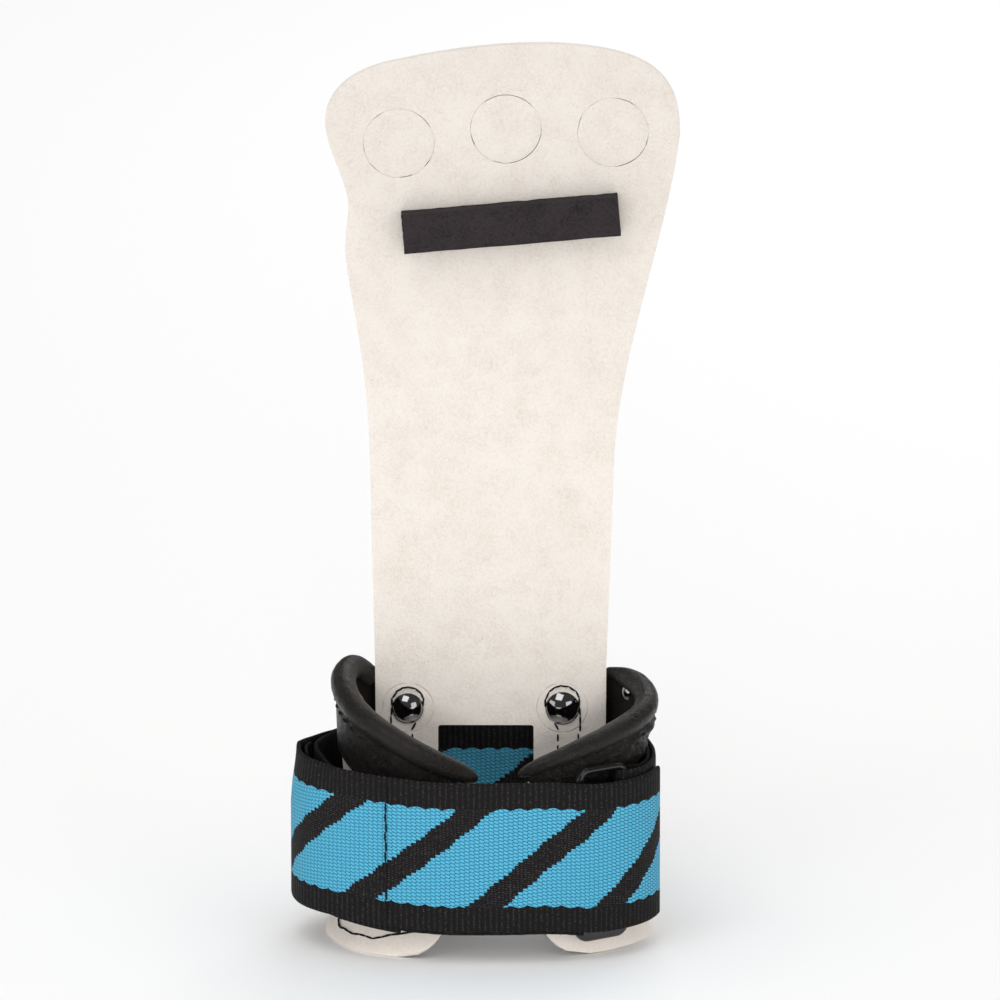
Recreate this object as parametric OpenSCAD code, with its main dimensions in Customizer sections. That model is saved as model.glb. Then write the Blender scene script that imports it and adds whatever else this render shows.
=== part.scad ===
// Gymnastics hand grip: a leather palm with a dowel and three finger plugs,
// riveted to a padded two-wing wristband that a woven strap wraps and closes.
// +Z runs up the palm to the finger end, +X to the right, -Y is the back of the wrist.

/* [Palm leather] */
// Thickness of the palm leather
leather_t = 2.2; // [1.8:0.1:3]
// Height of the finger end above the floor
palm_top = 232.8; // [190:0.1:290]
// Widest reach of the finger end to the right of the middle
head_right = 50.3; // [40:0.1:62]
// Widest reach of the finger end to the left of the middle
head_left = 41.2; // [34:0.1:50]
// Reach of the narrow part to the right of the middle
waist_right = 33.2; // [28:0.1:38]
// Reach of the narrow part to the left of the middle
waist_left = 29.8; // [26:0.1:38]
// Height of the hand side of the leather behind the middle
palm_y = 20.4; // [19:0.1:24]
// Height of the lower ends of the two legs
leg_foot = 3; // [1:0.5:8]
// Width of the notch between the legs
notch_w = 24.8; // [18:0.1:30]
// Height of the top of the notch
notch_top = 49.9; // [40:0.1:58]

/* [Finger plugs] */
// Diameter of each plug
plug_d = 18; // [13:0.5:22]
// Width of the cut round each plug
plug_cut = 0.2; // [0.1:0.05:0.4]
// Distance between neighbouring plugs
plug_pitch = 27.6; // [25:0.1:30]
// Distance from the finger end down to each plug, left to right
plug_drop = [26.4, 22.6, 23.5];

/* [Dowel] */
// Diameter of the dowel
dowel_d = 3.8; // [3:0.1:6]
// Length of the dowel
dowel_l = 52; // [40:1:56]
// Length of the strip that covers the dowel
strip_l = 56; // [50:1:62]
// Width of the strip that covers the dowel
strip_w = 10.4; // [9:0.2:15]
// Thickness of the covering strip
strip_t = 0.9; // [0.6:0.1:1.4]
// Slope of the strip, rising to the right
strip_turn = 5; // [0:1:8]
// Distance from the finger end down to the dowel
strip_drop = 47; // [46:0.1:60]

/* [Flex lines] */
// Height of the line where the palm flexes over the wristband
wrist_flex_z = 72; // [70:0.5:84]
// Height of the line where the finger end curls over the bar
curl_z = 148; // [110:1:160]
// Largest bend at either line
flex_max = 90; // [60:5:95]

/* [Wristband wings] */
// Half the width of the wings, outside
wing_half_w = 38.2; // [36:0.1:39]
// Half the depth of the wings, outside
wing_half_d = 23.7; // [21:0.1:26]
// Thickness of the outer leather of a wing
shell_t = 1.3; // [1:0.1:2]
// Thickness of the padded lining
lining_t = 1.1; // [0.8:0.1:2]
// Thickness of the binding that folds from the roll down the outside
flap_t = 0.8; // [0.6:0.1:1]
// Depth of that binding below the middle of the roll
flap_h = 13; // [8:0.5:16]
// Diameter of the rolled upper edge
roll_d = 6.6; // [5:0.1:8]
// Thickness of the leather round the roll
roll_skin = 0.9; // [0.6:0.1:1.4]
// Height that the plane of the roll has in the middle of the wristband
roll_z = 50.3; // [49:0.1:54]
// Rise of the roll for each millimetre towards the back
rise_back = 0.217; // [0.1:0.001:0.3]
// Rise of the roll for each millimetre out from the middle
rise_out = 0.353; // [0.25:0.001:0.4]
// Height of the part of a wing that lies behind the palm leather
wing_top = 63; // [60:0.5:66]
// Radius of the lower front corner of a wing
lobe_r = 12; // [6:0.5:16]

/* [Strap] */
// Width of the webbing
web_w = 40; // [32:1:44]
// Thickness of the webbing
web_t = 1.2; // [0.9:0.1:1.5]
// Height of the lower edge of the webbing
web_z = 9; // [7:0.5:9.5]
// Half the width of the wrapped strap, outside
strap_half_w = 48; // [46:0.1:56]
// Half the depth of the wrapped strap, outside
strap_half_d = 28.9; // [28.8:0.1:34]
// Middle of the wrapped strap, across
strap_cx = -2.3; // [-3:0.1:0]
// Where the free end of the strap starts to peel
peel_x = -28; // [-32:0.5:-25]

/* [Ring] */
// Width of the ring
ring_w = 16; // [14:0.5:20]
// Thickness of a bar of the ring
ring_t = 2.8; // [2:0.1:3.2]

/* [Rivets and thread] */
// Distance of each rivet from the middle
rivet_x = 20.1; // [18:0.1:22]
// Height of the rivets
rivet_z = 54.5; // [53.5:0.1:56]
// Diameter of the domed cap of a rivet
cap_d = 8.2; // [6:0.1:9]
// Diameter of the post of a rivet
post_d = 3.2; // [2.4:0.1:4]
// Diameter of the stiffening washer
washer_d = 13; // [10:0.5:14]
// Thickness of the stiffening washer
washer_t = 0.6; // [0.4:0.1:0.8]
// Length of a stitch
stitch_l = 2.1; // [1.4:0.1:3]
// Diameter of the thread
thread_d = 0.6; // [0.4:0.1:0.8]

/* [Hidden] */
$fn = 64;

gap = 0.15;         // between pieces that lie against each other
ply_gap = 0.25;     // between plies of the wrapped strap
wing_slack = 0.2;   // between the wings and the strap at the back
far = 200;          // longer than the object in every direction
steps = 24;         // points along a quarter of a loop

leather_c = [0.93, 0.9, 0.86];
black_c = [0.18, 0.16, 0.15];
blue_c = [0.34, 0.74, 0.86];

palm_back = palm_y + leather_t;
flex_gap = 2 * (leather_t / 2 * tan(flex_max / 2)) + 0.3;

// The plan loops, each [middle x, middle y, half width, half flat, half depth, roundness]
wing_cx = (waist_right - waist_left) / 2;
wing_flat = (waist_right + waist_left) / 2 - 2.5;
shell_back = palm_back + washer_t + 2 * gap + lining_t + gap + shell_t;
wing_cy = shell_back - wing_half_d;
wing_loop = [wing_cx, wing_cy, wing_half_w, wing_flat, wing_half_d, 2];
// At the back two plies of the strap lie close behind the wings
strap_cy = shell_back + wing_slack + 2 * web_t + ply_gap - strap_half_d;
strap_loop = [strap_cx, strap_cy, strap_half_w, wing_flat + 4, strap_half_d, 2.4];

plug_x = [for (i = [-1 : 1]) 5.4 + i * plug_pitch];
plug_z = [for (d = plug_drop) palm_top - d];
strip_x = 6.7;
strip_z = palm_top - strip_drop;

function power(v, e) = sign(v) * pow(abs(v), e);
function mix(p, q, w) = p * (1 - w) + q * w;
function ease(w) = let (c = max(0, min(1, w))) c * c * (3 - 2 * c);
function unit(v) = v / norm(v);
function bezier(p, n) = [for (i = [0 : n - 1]) let (t = i / n, s = 1 - t)
    p[0] * s * s * s + p[1] * 3 * s * s * t + p[2] * 3 * s * t * t + p[3] * t * t * t];

// A point on a plan loop, moved outwards by off. The angle u is 0 at the right,
// 90 at the back, where the loop is flat, 180 at the left and 270 at the front.
function loop_point(l, u, off) =
    let (v = (u % 360 + 360) % 360, f = l[3], e = 2 / l[5])
    v < 80 ? [l[0] + f + (l[2] - f + off) * power(cos(v * 9 / 8), e),
        l[1] + (l[4] + off) * power(sin(v * 9 / 8), e)]
    : v <= 100 ? [l[0] + f * (90 - v) / 10, l[1] + l[4] + off]
    : v < 180 ? [l[0] - f - (l[2] - f + off) * power(cos((180 - v) * 9 / 8), e),
        l[1] + (l[4] + off) * power(sin((180 - v) * 9 / 8), e)]
    : [l[0] + (l[2] + off) * power(cos(v), e), l[1] + (l[4] + off) * power(sin(v), e)];
// The angle of the point of a loop that has a given x, on its front or on its flat back
function front_angle(l, x) = 360 - acos(power((x - l[0]) / l[2], l[5] / 2));
function back_angle(l, x) = 90 - 10 * (x - l[0]) / l[3];
// The outward direction of a loop at the angle u
function loop_out(l, u) = let (d = loop_point(l, u + 1, 0) - loop_point(l, u - 1, 0)) unit([d[1], -d[0]]);

// A band in plan between two offsets of a loop, from angle a to angle b
module loop_band(l, a, b, inner, outer) {
    n = ceil(abs(b - a) / 90 * steps);
    polygon(concat([for (i = [0 : n]) loop_point(l, a + (b - a) * i / n, outer)],
        [for (i = [n : -1 : 0]) loop_point(l, a + (b - a) * i / n, inner)]));
}

// A ribbon in plan, of thickness t, along a path of points
function path_normal(p, i) =
    let (d = p[min(i + 1, len(p) - 1)] - p[max(i - 1, 0)]) unit([-d[1], d[0]]);
module ribbon(p, t) {
    n = len(p) - 1;
    polygon(concat([for (i = [0 : n]) p[i] + path_normal(p, i) * t / 2],
        [for (i = [n : -1 : 0]) p[i] - path_normal(p, i) * t / 2]));
}

// ---- palm leather ----
side_z = palm_top - 23.8;
kink_z = palm_top - 43.3;
function palm_outline() = concat(
    [[waist_right - 2.2, leg_foot], [waist_right - 1.7, 67]],
    bezier([[waist_right, 115], [waist_right, 148], [head_right - 3.8, kink_z - 11.5],
        [head_right, side_z]], 16),
    bezier([[head_right, side_z], [head_right, side_z + 16], [head_right - 7.8, palm_top - 1],
        [17, palm_top]], 14),
    bezier([[17, palm_top], [5, palm_top + 0.2], [-8, palm_top - 1.2], [-22.2, palm_top - 4.4]], 8),
    bezier([[-22.2, palm_top - 4.4], [-head_left + 8.2, palm_top - 6.3],
        [-head_left + 0.2, palm_top - 11.8], [-head_left, side_z + 3]], 12),
    bezier([[-head_left, side_z + 3], [-head_left, side_z - 4], [-head_left + 6, kink_z + 6.5],
        [-head_left + 6, kink_z]], 8),
    bezier([[-head_left + 6, kink_z], [-head_left + 6, kink_z - 3], [-head_left + 5.1, kink_z - 7.5],
        [-head_left + 5.1, kink_z - 11]], 6),
    bezier([[-head_left + 5.1, kink_z - 11], [-head_left + 5.1, kink_z - 19.5],
        [-waist_left - 0.4, 150], [-waist_left, 122]], 12),
    [[-waist_left, 122], [-waist_left + 1.2, 67], [-waist_left + 1.8, leg_foot]]);

// Stands an outline in X and Z up at depth y, t thick towards the back
module upright(y, t) translate([0, y + t, 0]) rotate([90, 0, 0]) linear_extrude(t) children();
module bore(x, z, d, y0, y1) translate([x, y1, z]) rotate([90, 0, 0]) cylinder(h = y1 - y0, d = d);

module palm_slice(z0, z1) upright(palm_y, leather_t) intersection() {
    polygon(palm_outline());
    translate([-far / 2, z0]) square([far, z1 - z0]);
}
module palm_base() color(leather_c) difference() {
    palm_slice(0, wrist_flex_z - flex_gap / 2);
    translate([0.2 - notch_w / 2, palm_y - 1, -1]) cube([notch_w, leather_t + 2, notch_top + 1]);
    for (s = [-1, 1]) bore(s * rivet_x, rivet_z, post_d + 2 * gap, palm_y - 1, palm_back + 1);
}
module palm_panel() color(leather_c) palm_slice(wrist_flex_z + flex_gap / 2, curl_z - flex_gap / 2);
module finger_panel() color(leather_c) difference() {
    palm_slice(curl_z + flex_gap / 2, palm_top + 1);
    for (i = [0 : 2]) bore(plug_x[i], plug_z[i], plug_d + 2 * plug_cut, palm_y - 1, palm_back + 1);
}
module plug(i) color(leather_c) bore(plug_x[i], plug_z[i], plug_d, palm_y, palm_back);

// ---- dowel and its strip, which lie on the hand side of the leather ----
module on_strip() translate([strip_x, palm_y, strip_z]) rotate([0, -strip_turn, 0]) children();
dowel_y = -(2 * gap + strip_t + dowel_d / 2);
cover_y = dowel_y - dowel_d / 2 - gap - strip_t;
module dowel() color("burlywood") on_strip()
    translate([-dowel_l / 2, dowel_y, 0]) rotate([0, 90, 0]) cylinder(h = dowel_l, d = dowel_d);
module dowel_base() color(black_c) on_strip()
    translate([-strip_l / 2, -gap - strip_t, -strip_w / 2]) cube([strip_l, strip_t, strip_w]);
// The cover is a square-edged channel over the dowel, with a flat rim along each side
module dowel_cover() color(black_c) on_strip() {
    room = dowel_d / 2 + gap;
    top = -cover_y;
    low = 2 * gap + strip_t;
    rotate([0, -90, 0]) rotate([0, 0, 180]) linear_extrude(strip_l, center = true) difference() {
        translate([-strip_w / 2, low]) square([strip_w, top - low]);
        translate([-room, low - 1]) square([2 * room, top - low + 1 - strip_t]);
    }
}

// ---- wings of the wristband ----
// The roll lies in a plane that rises outwards and towards the back
roll_lean = norm([rise_out, rise_back, 1]);
function plane_z(s, p) = roll_z + rise_out * s * (p[0] - wing_cx) + rise_back * p[1];
// Everything below that plane, lowered by drop
module under_roll(s, drop) translate([wing_cx, 0, roll_z - drop])
    rotate([0, acos(1 / roll_lean), atan2(-rise_back, -rise_out * s)])
        translate([-far, -far, -far]) cube([2 * far, 2 * far, far]);
under_drop = roll_d / 2 * roll_lean + 2 * gap;
back_end = notch_w / 2 + 0.4;
front_end = [-3.4, 10.3];
// The outline of a wing in X and Z: s is -1 at the left and 1 at the right
module wing_outline(s) {
    end = s < 0 ? front_end[0] : -front_end[1];
    foot = end - 6.2;
    mirror([s > 0 ? 1 : 0, 0]) polygon(concat([[-far / 2, 0]],
        [for (a = [-90 : 15 : 0]) [foot - lobe_r + lobe_r * cos(a), lobe_r + lobe_r * sin(a)]],
        [[end, roll_z], [end, far / 2], [-far / 2, far / 2]]));
}
function wing_from(s) = s < 0 ? back_angle(wing_loop, 0.2 - back_end)
    : front_angle(wing_loop, front_end[1]) - 360;
function wing_to(s) = s < 0 ? front_angle(wing_loop, front_end[0]) : back_angle(wing_loop, 0.2 + back_end);
module wing_layer(s, inner, outer, foot = 0) difference() {
    intersection() {
        translate([0, 0, foot]) linear_extrude(far / 2)
            loop_band(wing_loop, wing_from(s), wing_to(s), inner, outer);
        union() {
            under_roll(s, under_drop);
            translate([wing_cx - wing_flat, wing_cy, 0]) cube([2 * wing_flat, far, wing_top]);
        }
        upright(-far / 2, far) wing_outline(s);
    }
    bore(s * rivet_x, rivet_z, post_d + 2 * gap, 0, far / 2);
}
module wing_shell(s) color(leather_c) wing_layer(s, -shell_t, 0);
module wing_lining(s) color(black_c) wing_layer(s, -shell_t - gap - lining_t, -shell_t - gap, 0.5);
// The roll starts beside the edge of the palm leather
roll_mid = -(shell_t + gap + lining_t) / 2;
roll_side = [-waist_left + 1.2 - roll_d / 2 - 0.5, waist_right - 1.7 + roll_d / 2 + 0.5];
function corner_angle(x) =
    acos((abs(x - wing_cx) - wing_flat) / (wing_half_w - wing_flat + roll_mid)) * 8 / 9;
roll_start = [180 - corner_angle(roll_side[0]), corner_angle(roll_side[1])];
module wing_binding(s) color(black_c) difference() {
    intersection() {
        linear_extrude(far / 2) loop_band(wing_loop, s < 0 ? roll_start[0] : wing_from(s),
            s < 0 ? wing_to(s) : roll_start[1], gap, gap + flap_t);
        under_roll(s, under_drop);
        upright(-far / 2, far) wing_outline(s);
    }
    under_roll(s, flap_h);
}

// A tube or a rod swept along the roll: rings of points on a circle of radius r
function roll_angles(s) = s < 0 ? [roll_start[0], front_angle(wing_loop, front_end[0] - 2)]
    : [roll_start[1], front_angle(wing_loop, front_end[1] + 2) - 360];
function roll_centre(s, k) =
    let (a = roll_angles(s), p = loop_point(wing_loop, mix(a[0], a[1], k), roll_mid))
    [p[0], p[1], plane_z(s, p)];
roll_rings = 22;
roll_sides = 12;
function roll_ring(s, i, r) =
    let (k = i / roll_rings, c = roll_centre(s, k),
        d = unit(roll_centre(s, k + 0.01) - roll_centre(s, k - 0.01)),
        side = unit(cross(d, [0, 0, 1])), up = cross(side, d))
    [for (j = [0 : roll_sides - 1]) let (a = j * 360 / roll_sides) c + r * (side * cos(a) + up * sin(a))];
function ring_faces(first, second, n) = [for (j = [0 : n - 1]) let (k = (j + 1) % n)
    each [[first + j, second + j, second + k], [first + j, second + k, first + k]]];
module swept(s, r, inner = 0) {
    n = roll_sides;
    m = n * (roll_rings + 1);
    outer_points = [for (i = [0 : roll_rings]) each roll_ring(s, i, r)];
    inner_points = inner > 0 ? [for (i = [0 : roll_rings]) each roll_ring(s, i, inner)] : [];
    walls = [for (i = [0 : roll_rings - 1]) each ring_faces(i * n, (i + 1) * n, n)];
    bore_walls = [for (w = walls) [m + w[2], m + w[1], m + w[0]]];
    caps = [[for (j = [0 : n - 1]) j], [for (j = [n - 1 : -1 : 0]) m - n + j]];
    rims = concat(ring_faces(m, 0, n), ring_faces(m - n, 2 * m - n, n));
    faces = inner > 0 ? concat(walls, bore_walls, rims) : concat(walls, caps);
    polyhedron(concat(outer_points, inner_points), faces, convexity = 6);
}
module wing_roll(s) color(black_c) swept(s, roll_d / 2, roll_d / 2 - roll_skin);
module roll_core(s) color("gray") swept(s, roll_d / 2 - roll_skin - gap);

// ---- rivets and washers ----
module rivet_cap(s) color("dimgray") translate([s * rivet_x, palm_y - gap, rivet_z]) rotate([90, 0, 0]) {
    dome_h = 2.1;
    ball_r = (cap_d * cap_d / 4 + dome_h * dome_h) / (2 * dome_h);
    intersection() {
        translate([0, 0, dome_h - ball_r]) sphere(r = ball_r, $fn = 96);
        cylinder(h = dome_h + 1, d = cap_d);
    }
    translate([0, 0, -(washer_t + leather_t + 2)]) cylinder(h = washer_t + leather_t + 2.2, d = post_d);
}
module rivet_back(s) color("dimgray") translate([s * rivet_x, shell_back + gap, rivet_z]) rotate([-90, 0, 0])
    difference() {
        cylinder(h = 1.2, d = cap_d);
        translate([0, 0, 0.6]) cylinder(h = 1, d = post_d - 0.8);
    }
module washer(s) color("silver") difference() {
    bore(s * rivet_x, rivet_z, washer_d, palm_back + gap, palm_back + gap + washer_t);
    bore(s * rivet_x, rivet_z, post_d + 2 * gap, palm_y, far / 2);
}
side_rivet_u = 30;
side_rivet_drop = 1.285; // from the lower side of the roll down to its middle
module side_rivet() color("dimgray") {
    out = loop_out(wing_loop, side_rivet_u);
    p = loop_point(wing_loop, side_rivet_u, 0) - out * (shell_t + 3 * gap + lining_t + 0.3);
    z = plane_z(1, p) - roll_d / 2 * roll_lean - side_rivet_drop;
    translate([p[0], p[1], z]) rotate([0, 0, atan2(-out[1], -out[0])]) rotate([0, 90, 0])
        intersection() {
            translate([0, 0, -2.2]) sphere(r = 3.4, $fn = 64);
            cylinder(h = 3, d = 5.4);
        }
}

// ---- ring, strap and tapes ----
web_top = web_z + web_w;
ring_u = front_angle(strap_loop, 34) - 360;
ring_depth = 5.25;
ring_c = loop_point(strap_loop, ring_u, -ring_depth);
ring_out = loop_out(strap_loop, ring_u);
ring_d = [-ring_out[1], ring_out[0]];
bar_step = ring_w / 2 - ring_t / 2;
fold_r = ring_t / 2 + gap + web_t / 2;
right_bar = ring_c + ring_d * bar_step;
left_bar = ring_c - ring_d * bar_step;
ring_rail = 2.6;
ring_foot = 4.8;
module ring() color("black") translate([ring_c[0], ring_c[1], web_z - ring_foot - 0.6])
    rotate([0, 0, atan2(ring_d[1], ring_d[0])]) {
        tall = web_w + ring_foot + ring_rail + 1.2;
        for (x = [-bar_step, bar_step]) translate([x, 0, 0]) cylinder(h = tall, d = ring_t);
        for (rail = [[0, ring_foot], [tall - ring_rail, ring_rail]])
            translate([-bar_step, -ring_t / 2, rail[0]]) cube([2 * bar_step, ring_t, rail[1]]);
    }

// A half turn about a bar: from the inner side, through the slot, to the outer side
function turn_about(c, r, s) = [for (a = [-90 : 15 : 90])
    c + r * (s * ring_d * cos(a) + ring_out * sin(a))];

side_1 = -(2 * (web_t + ply_gap) + web_t / 2);
back_1 = -(web_t + ply_gap + web_t / 2);
side_2 = back_1;
back_2 = -web_t / 2;
curl = -5.2;
start_u = 212;
// How far in each wrap lies: two plies deeper at the right, where the free end covers them
function first_offset(u) = u > 90 ? back_1 + (curl - back_1) * ease((u - 110) / 60)
    : side_1 + (back_1 - side_1) * ease((u - 25) / 45);
function first_point(u) = mix(loop_point(wing_loop, u, 2 * gap + flap_t + web_t / 2),
    loop_point(strap_loop, u, first_offset(u)), ease((start_u - u) / 30));
function second_offset(u) = side_2 + (back_2 - side_2) * ease((u - 25) / 45);
function second_point(u) = loop_point(strap_loop, u, second_offset(u));
bar_u = front_angle(strap_loop, right_bar[0]) - 360;
to_inner = right_bar - ring_out * fold_r - first_point(bar_u);
to_outer = right_bar + ring_out * fold_r - second_point(bar_u);
approach = 24;
function near_bar(u) = 1 - ease((u - bar_u) / approach);
function strap_path() = concat(
    [for (u = [start_u : -3 : bar_u + 3]) first_point(u) + to_inner * near_bar(u)],
    turn_about(right_bar, fold_r, -1),
    [for (u = concat([for (v = [bar_u + 3 : 3 : peel_u - 4]) v], [peel_u - peel_skip]))
        second_point(u) + to_outer * near_bar(u)]);
peel_u = front_angle(strap_loop, peel_x);
peel_skip = 1.6;
module strap() color(blue_c) translate([0, 0, web_z]) linear_extrude(web_w) ribbon(strap_path(), web_t);

end_u = 366;
module strap_end() color(blue_c) translate([0, 0, web_z]) linear_extrude(web_w)
    loop_band(strap_loop, peel_u, end_u, -web_t, 0);
hook_t = 0.8;
hook_x = [-22.7, 22];
module hook_tape() color(black_c) translate([0, 0, web_z - 1.4]) linear_extrude(web_w)
    loop_band(strap_loop, front_angle(strap_loop, hook_x[0]), front_angle(strap_loop, hook_x[1]),
        -web_t - gap - hook_t, -web_t - gap);
// The loop tape lies on the outer side of the first wrap at the left
loop_t = 0.8;
tape_path = [for (u = [start_u - 24 : -3 : start_u - 69]) first_point(u)];
tape_off = web_t / 2 + ply_gap + loop_t / 2;
module loop_tape() color(black_c) translate([0, 0, web_z + 1]) linear_extrude(web_w - 2)
    ribbon([for (i = [0 : len(tape_path) - 1]) tape_path[i] + path_normal(tape_path, i) * tape_off], loop_t);
tab_t = 1;
tab_r = ring_t / 2 + gap + tab_t / 2;
tab_a = left_bar - ring_out * tab_r;
tab_b = left_bar + ring_out * tab_r;
tab_under = 2 * gap + flap_t + tab_t / 2;
tab_over = tab_under + tab_t + gap;
function on_wing(x, off) = loop_point(wing_loop, front_angle(wing_loop, x), off);
module ring_tab() color(black_c) translate([0, 0, web_z + 5]) linear_extrude(web_w - 11) ribbon(concat(
    [for (x = [13 : 2 : 21]) on_wing(x, tab_under)],
    [mix(on_wing(23, tab_under), tab_a, 0.5)],
    turn_about(left_bar, tab_r, 1),
    [tab_b - ring_d, mix(tab_b - ring_d * 3, on_wing(18, tab_over), 0.5)],
    [for (x = [17 : -2 : 13]) on_wing(x, tab_over)]), tab_t);

// ---- stitching ----
// A stitch is a short round thread with its middle at p, lying along d
module stitch(p, d) {
    v = unit(d);
    translate(p) rotate([0, acos(v[2]), atan2(v[1], v[0])])
        cylinder(h = stitch_l, d = thread_d, center = true, $fn = 8);
}
thread_y = palm_y - thread_d / 2 - 0.02;
stitch_pitch = 3.1;
arc_r = cap_d / 2 + 0.55;
arc_up = 1.6;
// An arch over the rivet, a line down its outer side and one from under its cap
module stitches_leg(s) color("black") {
    for (a = [0 : 30 : 180])
        stitch([s * rivet_x + arc_r * cos(a), thread_y, rivet_z + arc_up + arc_r * sin(a)],
               [-sin(a), 0, cos(a)]);
    for (line = [[arc_r, 1.5], [-1.2, cap_d / 2 + stitch_l / 2 + 0.5]])
        for (z = [rivet_z - line[1] : -stitch_pitch : leg_foot + 3])
            stitch([s * (rivet_x + line[0]), thread_y, z], [0, 0, 1]);
}
// A row of n stitches round a wing, off from its outer face, at the height z0 in the middle
module wing_row(s, a, b, n, off, z0, slope) for (i = [0 : n - 1]) {
    u = mix(a, b, (i + 0.5) / n);
    p = loop_point(wing_loop, u, off);
    d = loop_point(wing_loop, u + 1, off) - loop_point(wing_loop, u - 1, off);
    rise = [rise_out * s, rise_back] * slope;
    stitch([p[0], p[1], z0 + rise * (p - [wing_cx, 0])], [d[0], d[1], rise * d]);
}
module stitches_roll(s) color("black")
    wing_row(s, roll_angles(s)[0] - s * 3, roll_angles(s)[1] + s * 3, 18, gap + flap_t + thread_d / 2 + 0.1,
        roll_z - roll_d / 2 * roll_lean - 0.9, 1);
module stitches_lobe(s) color("black") wing_row(s, s < 0 ? 188 : -8,
    s < 0 ? front_angle(wing_loop, front_end[0] - 13) : front_angle(wing_loop, front_end[1] + 13) - 360,
    9, thread_d / 2 + 0.12, 5, 0);
module stitches_strap() color("black") {
    p = loop_point(strap_loop, front_angle(strap_loop, peel_x + 2.4), thread_d / 2 + 0.03);
    for (z = [web_z + 6 : stitch_pitch : web_top - 5]) stitch([p[0], p[1], z], [0, 0, 1]);
}

palm_base();
palm_panel();
finger_panel();
plug(0);  // plug_left
plug(1);  // plug_middle
plug(2);  // plug_right
dowel();
dowel_cover();
dowel_base();
wing_shell(-1);  // wing_shell_left
wing_shell(1);  // wing_shell_right
wing_lining(-1);  // wing_lining_left
wing_lining(1);  // wing_lining_right
wing_binding(-1);  // wing_binding_left
wing_binding(1);  // wing_binding_right
wing_roll(-1);  // wing_roll_left
wing_roll(1);  // wing_roll_right
roll_core(-1);  // roll_core_left
roll_core(1);  // roll_core_right
rivet_cap(-1);  // rivet_cap_left
rivet_cap(1);  // rivet_cap_right
rivet_back(-1);  // rivet_back_left
rivet_back(1);  // rivet_back_right
washer(-1);  // washer_left
washer(1);  // washer_right
side_rivet();
strap();
strap_end();
hook_tape();
loop_tape();
ring();
ring_tab();
stitches_leg(-1);  // stitches_leg_left
stitches_leg(1);  // stitches_leg_right
stitches_roll(-1);  // stitches_roll_left
stitches_roll(1);  // stitches_roll_right
stitches_lobe(-1);  // stitches_lobe_left
stitches_lobe(1);  // stitches_lobe_right
stitches_strap();
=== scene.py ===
"""A gymnastics hand grip for the uneven bars: palm leather, dowel, padded wristband and woven strap.

Lengths are in millimetres unless a name says otherwise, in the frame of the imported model:
X to the right, Y to the back and Z up. The hand side of the palm leather faces the camera.
"""

import logging
import math
from dataclasses import dataclass, field
from enum import Enum
from typing import Callable, Iterable, Sequence

import bmesh
import bpy
from mathutils import Matrix, Vector, noise


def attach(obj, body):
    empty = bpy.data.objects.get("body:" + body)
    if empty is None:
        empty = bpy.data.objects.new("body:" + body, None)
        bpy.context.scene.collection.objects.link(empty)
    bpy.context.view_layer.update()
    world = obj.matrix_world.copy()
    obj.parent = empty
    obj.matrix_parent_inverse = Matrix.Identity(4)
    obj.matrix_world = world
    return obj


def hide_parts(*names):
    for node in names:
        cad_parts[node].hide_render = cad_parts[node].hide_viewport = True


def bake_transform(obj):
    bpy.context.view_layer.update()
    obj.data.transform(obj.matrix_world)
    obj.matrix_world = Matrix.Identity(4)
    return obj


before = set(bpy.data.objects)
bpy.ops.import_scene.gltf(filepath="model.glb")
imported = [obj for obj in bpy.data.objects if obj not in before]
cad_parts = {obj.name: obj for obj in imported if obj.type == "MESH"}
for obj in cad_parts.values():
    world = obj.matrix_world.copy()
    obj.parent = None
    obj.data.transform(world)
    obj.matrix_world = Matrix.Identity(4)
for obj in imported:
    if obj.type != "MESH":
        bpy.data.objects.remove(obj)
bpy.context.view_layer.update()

MM = 0.001
UV_MM = 0.01  # UV units in one millimetre
WELD = 1e-4
Place = Callable[[float, float], Vector]
log = logging.getLogger("hand_grip")


class Side(Enum):
    """The left and the right half of the wristband."""

    LEFT = -1
    RIGHT = 1

    @property
    def word(self) -> str:
        """The end of the names of this side's nodes."""
        return self.name.lower()


# ---------------------------------------------------------------- numbers and curves


def mix(a: float, b: float, w: float) -> float:
    """The value a share w of the way from a to b."""
    return a + (b - a) * w


def ease(w: float) -> float:
    """A smooth step from 0 at w 0 to 1 at w 1."""
    c = max(0.0, min(1.0, w))
    return c * c * (3 - 2 * c)


def power(value: float, exponent: float) -> float:
    """A power that keeps the sign of the value."""
    return math.copysign(abs(value) ** exponent, value)


def ripple(point: Vector, size: float, seed: float = 0.0) -> float:
    """Smooth noise from -1 to 1 whose features are about size across."""
    return noise.noise(Vector((point.x / size + seed, point.y / size, point.z / size)))


def bezier(p: Sequence[tuple[float, float]], count: int) -> list[tuple[float, float]]:
    """Points on a cubic curve.

    Args:
        p: the four control points.
        count: how many points, without the last one.

    Returns:
        The points, from the first control point on.
    """
    points = []
    for i in range(count):
        t = i / count
        s = 1 - t
        w = (s * s * s, 3 * s * s * t, 3 * s * t * t, t * t * t)
        points.append(tuple(sum(w[k] * p[k][axis] for k in range(4)) for axis in (0, 1)))
    return points


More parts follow.
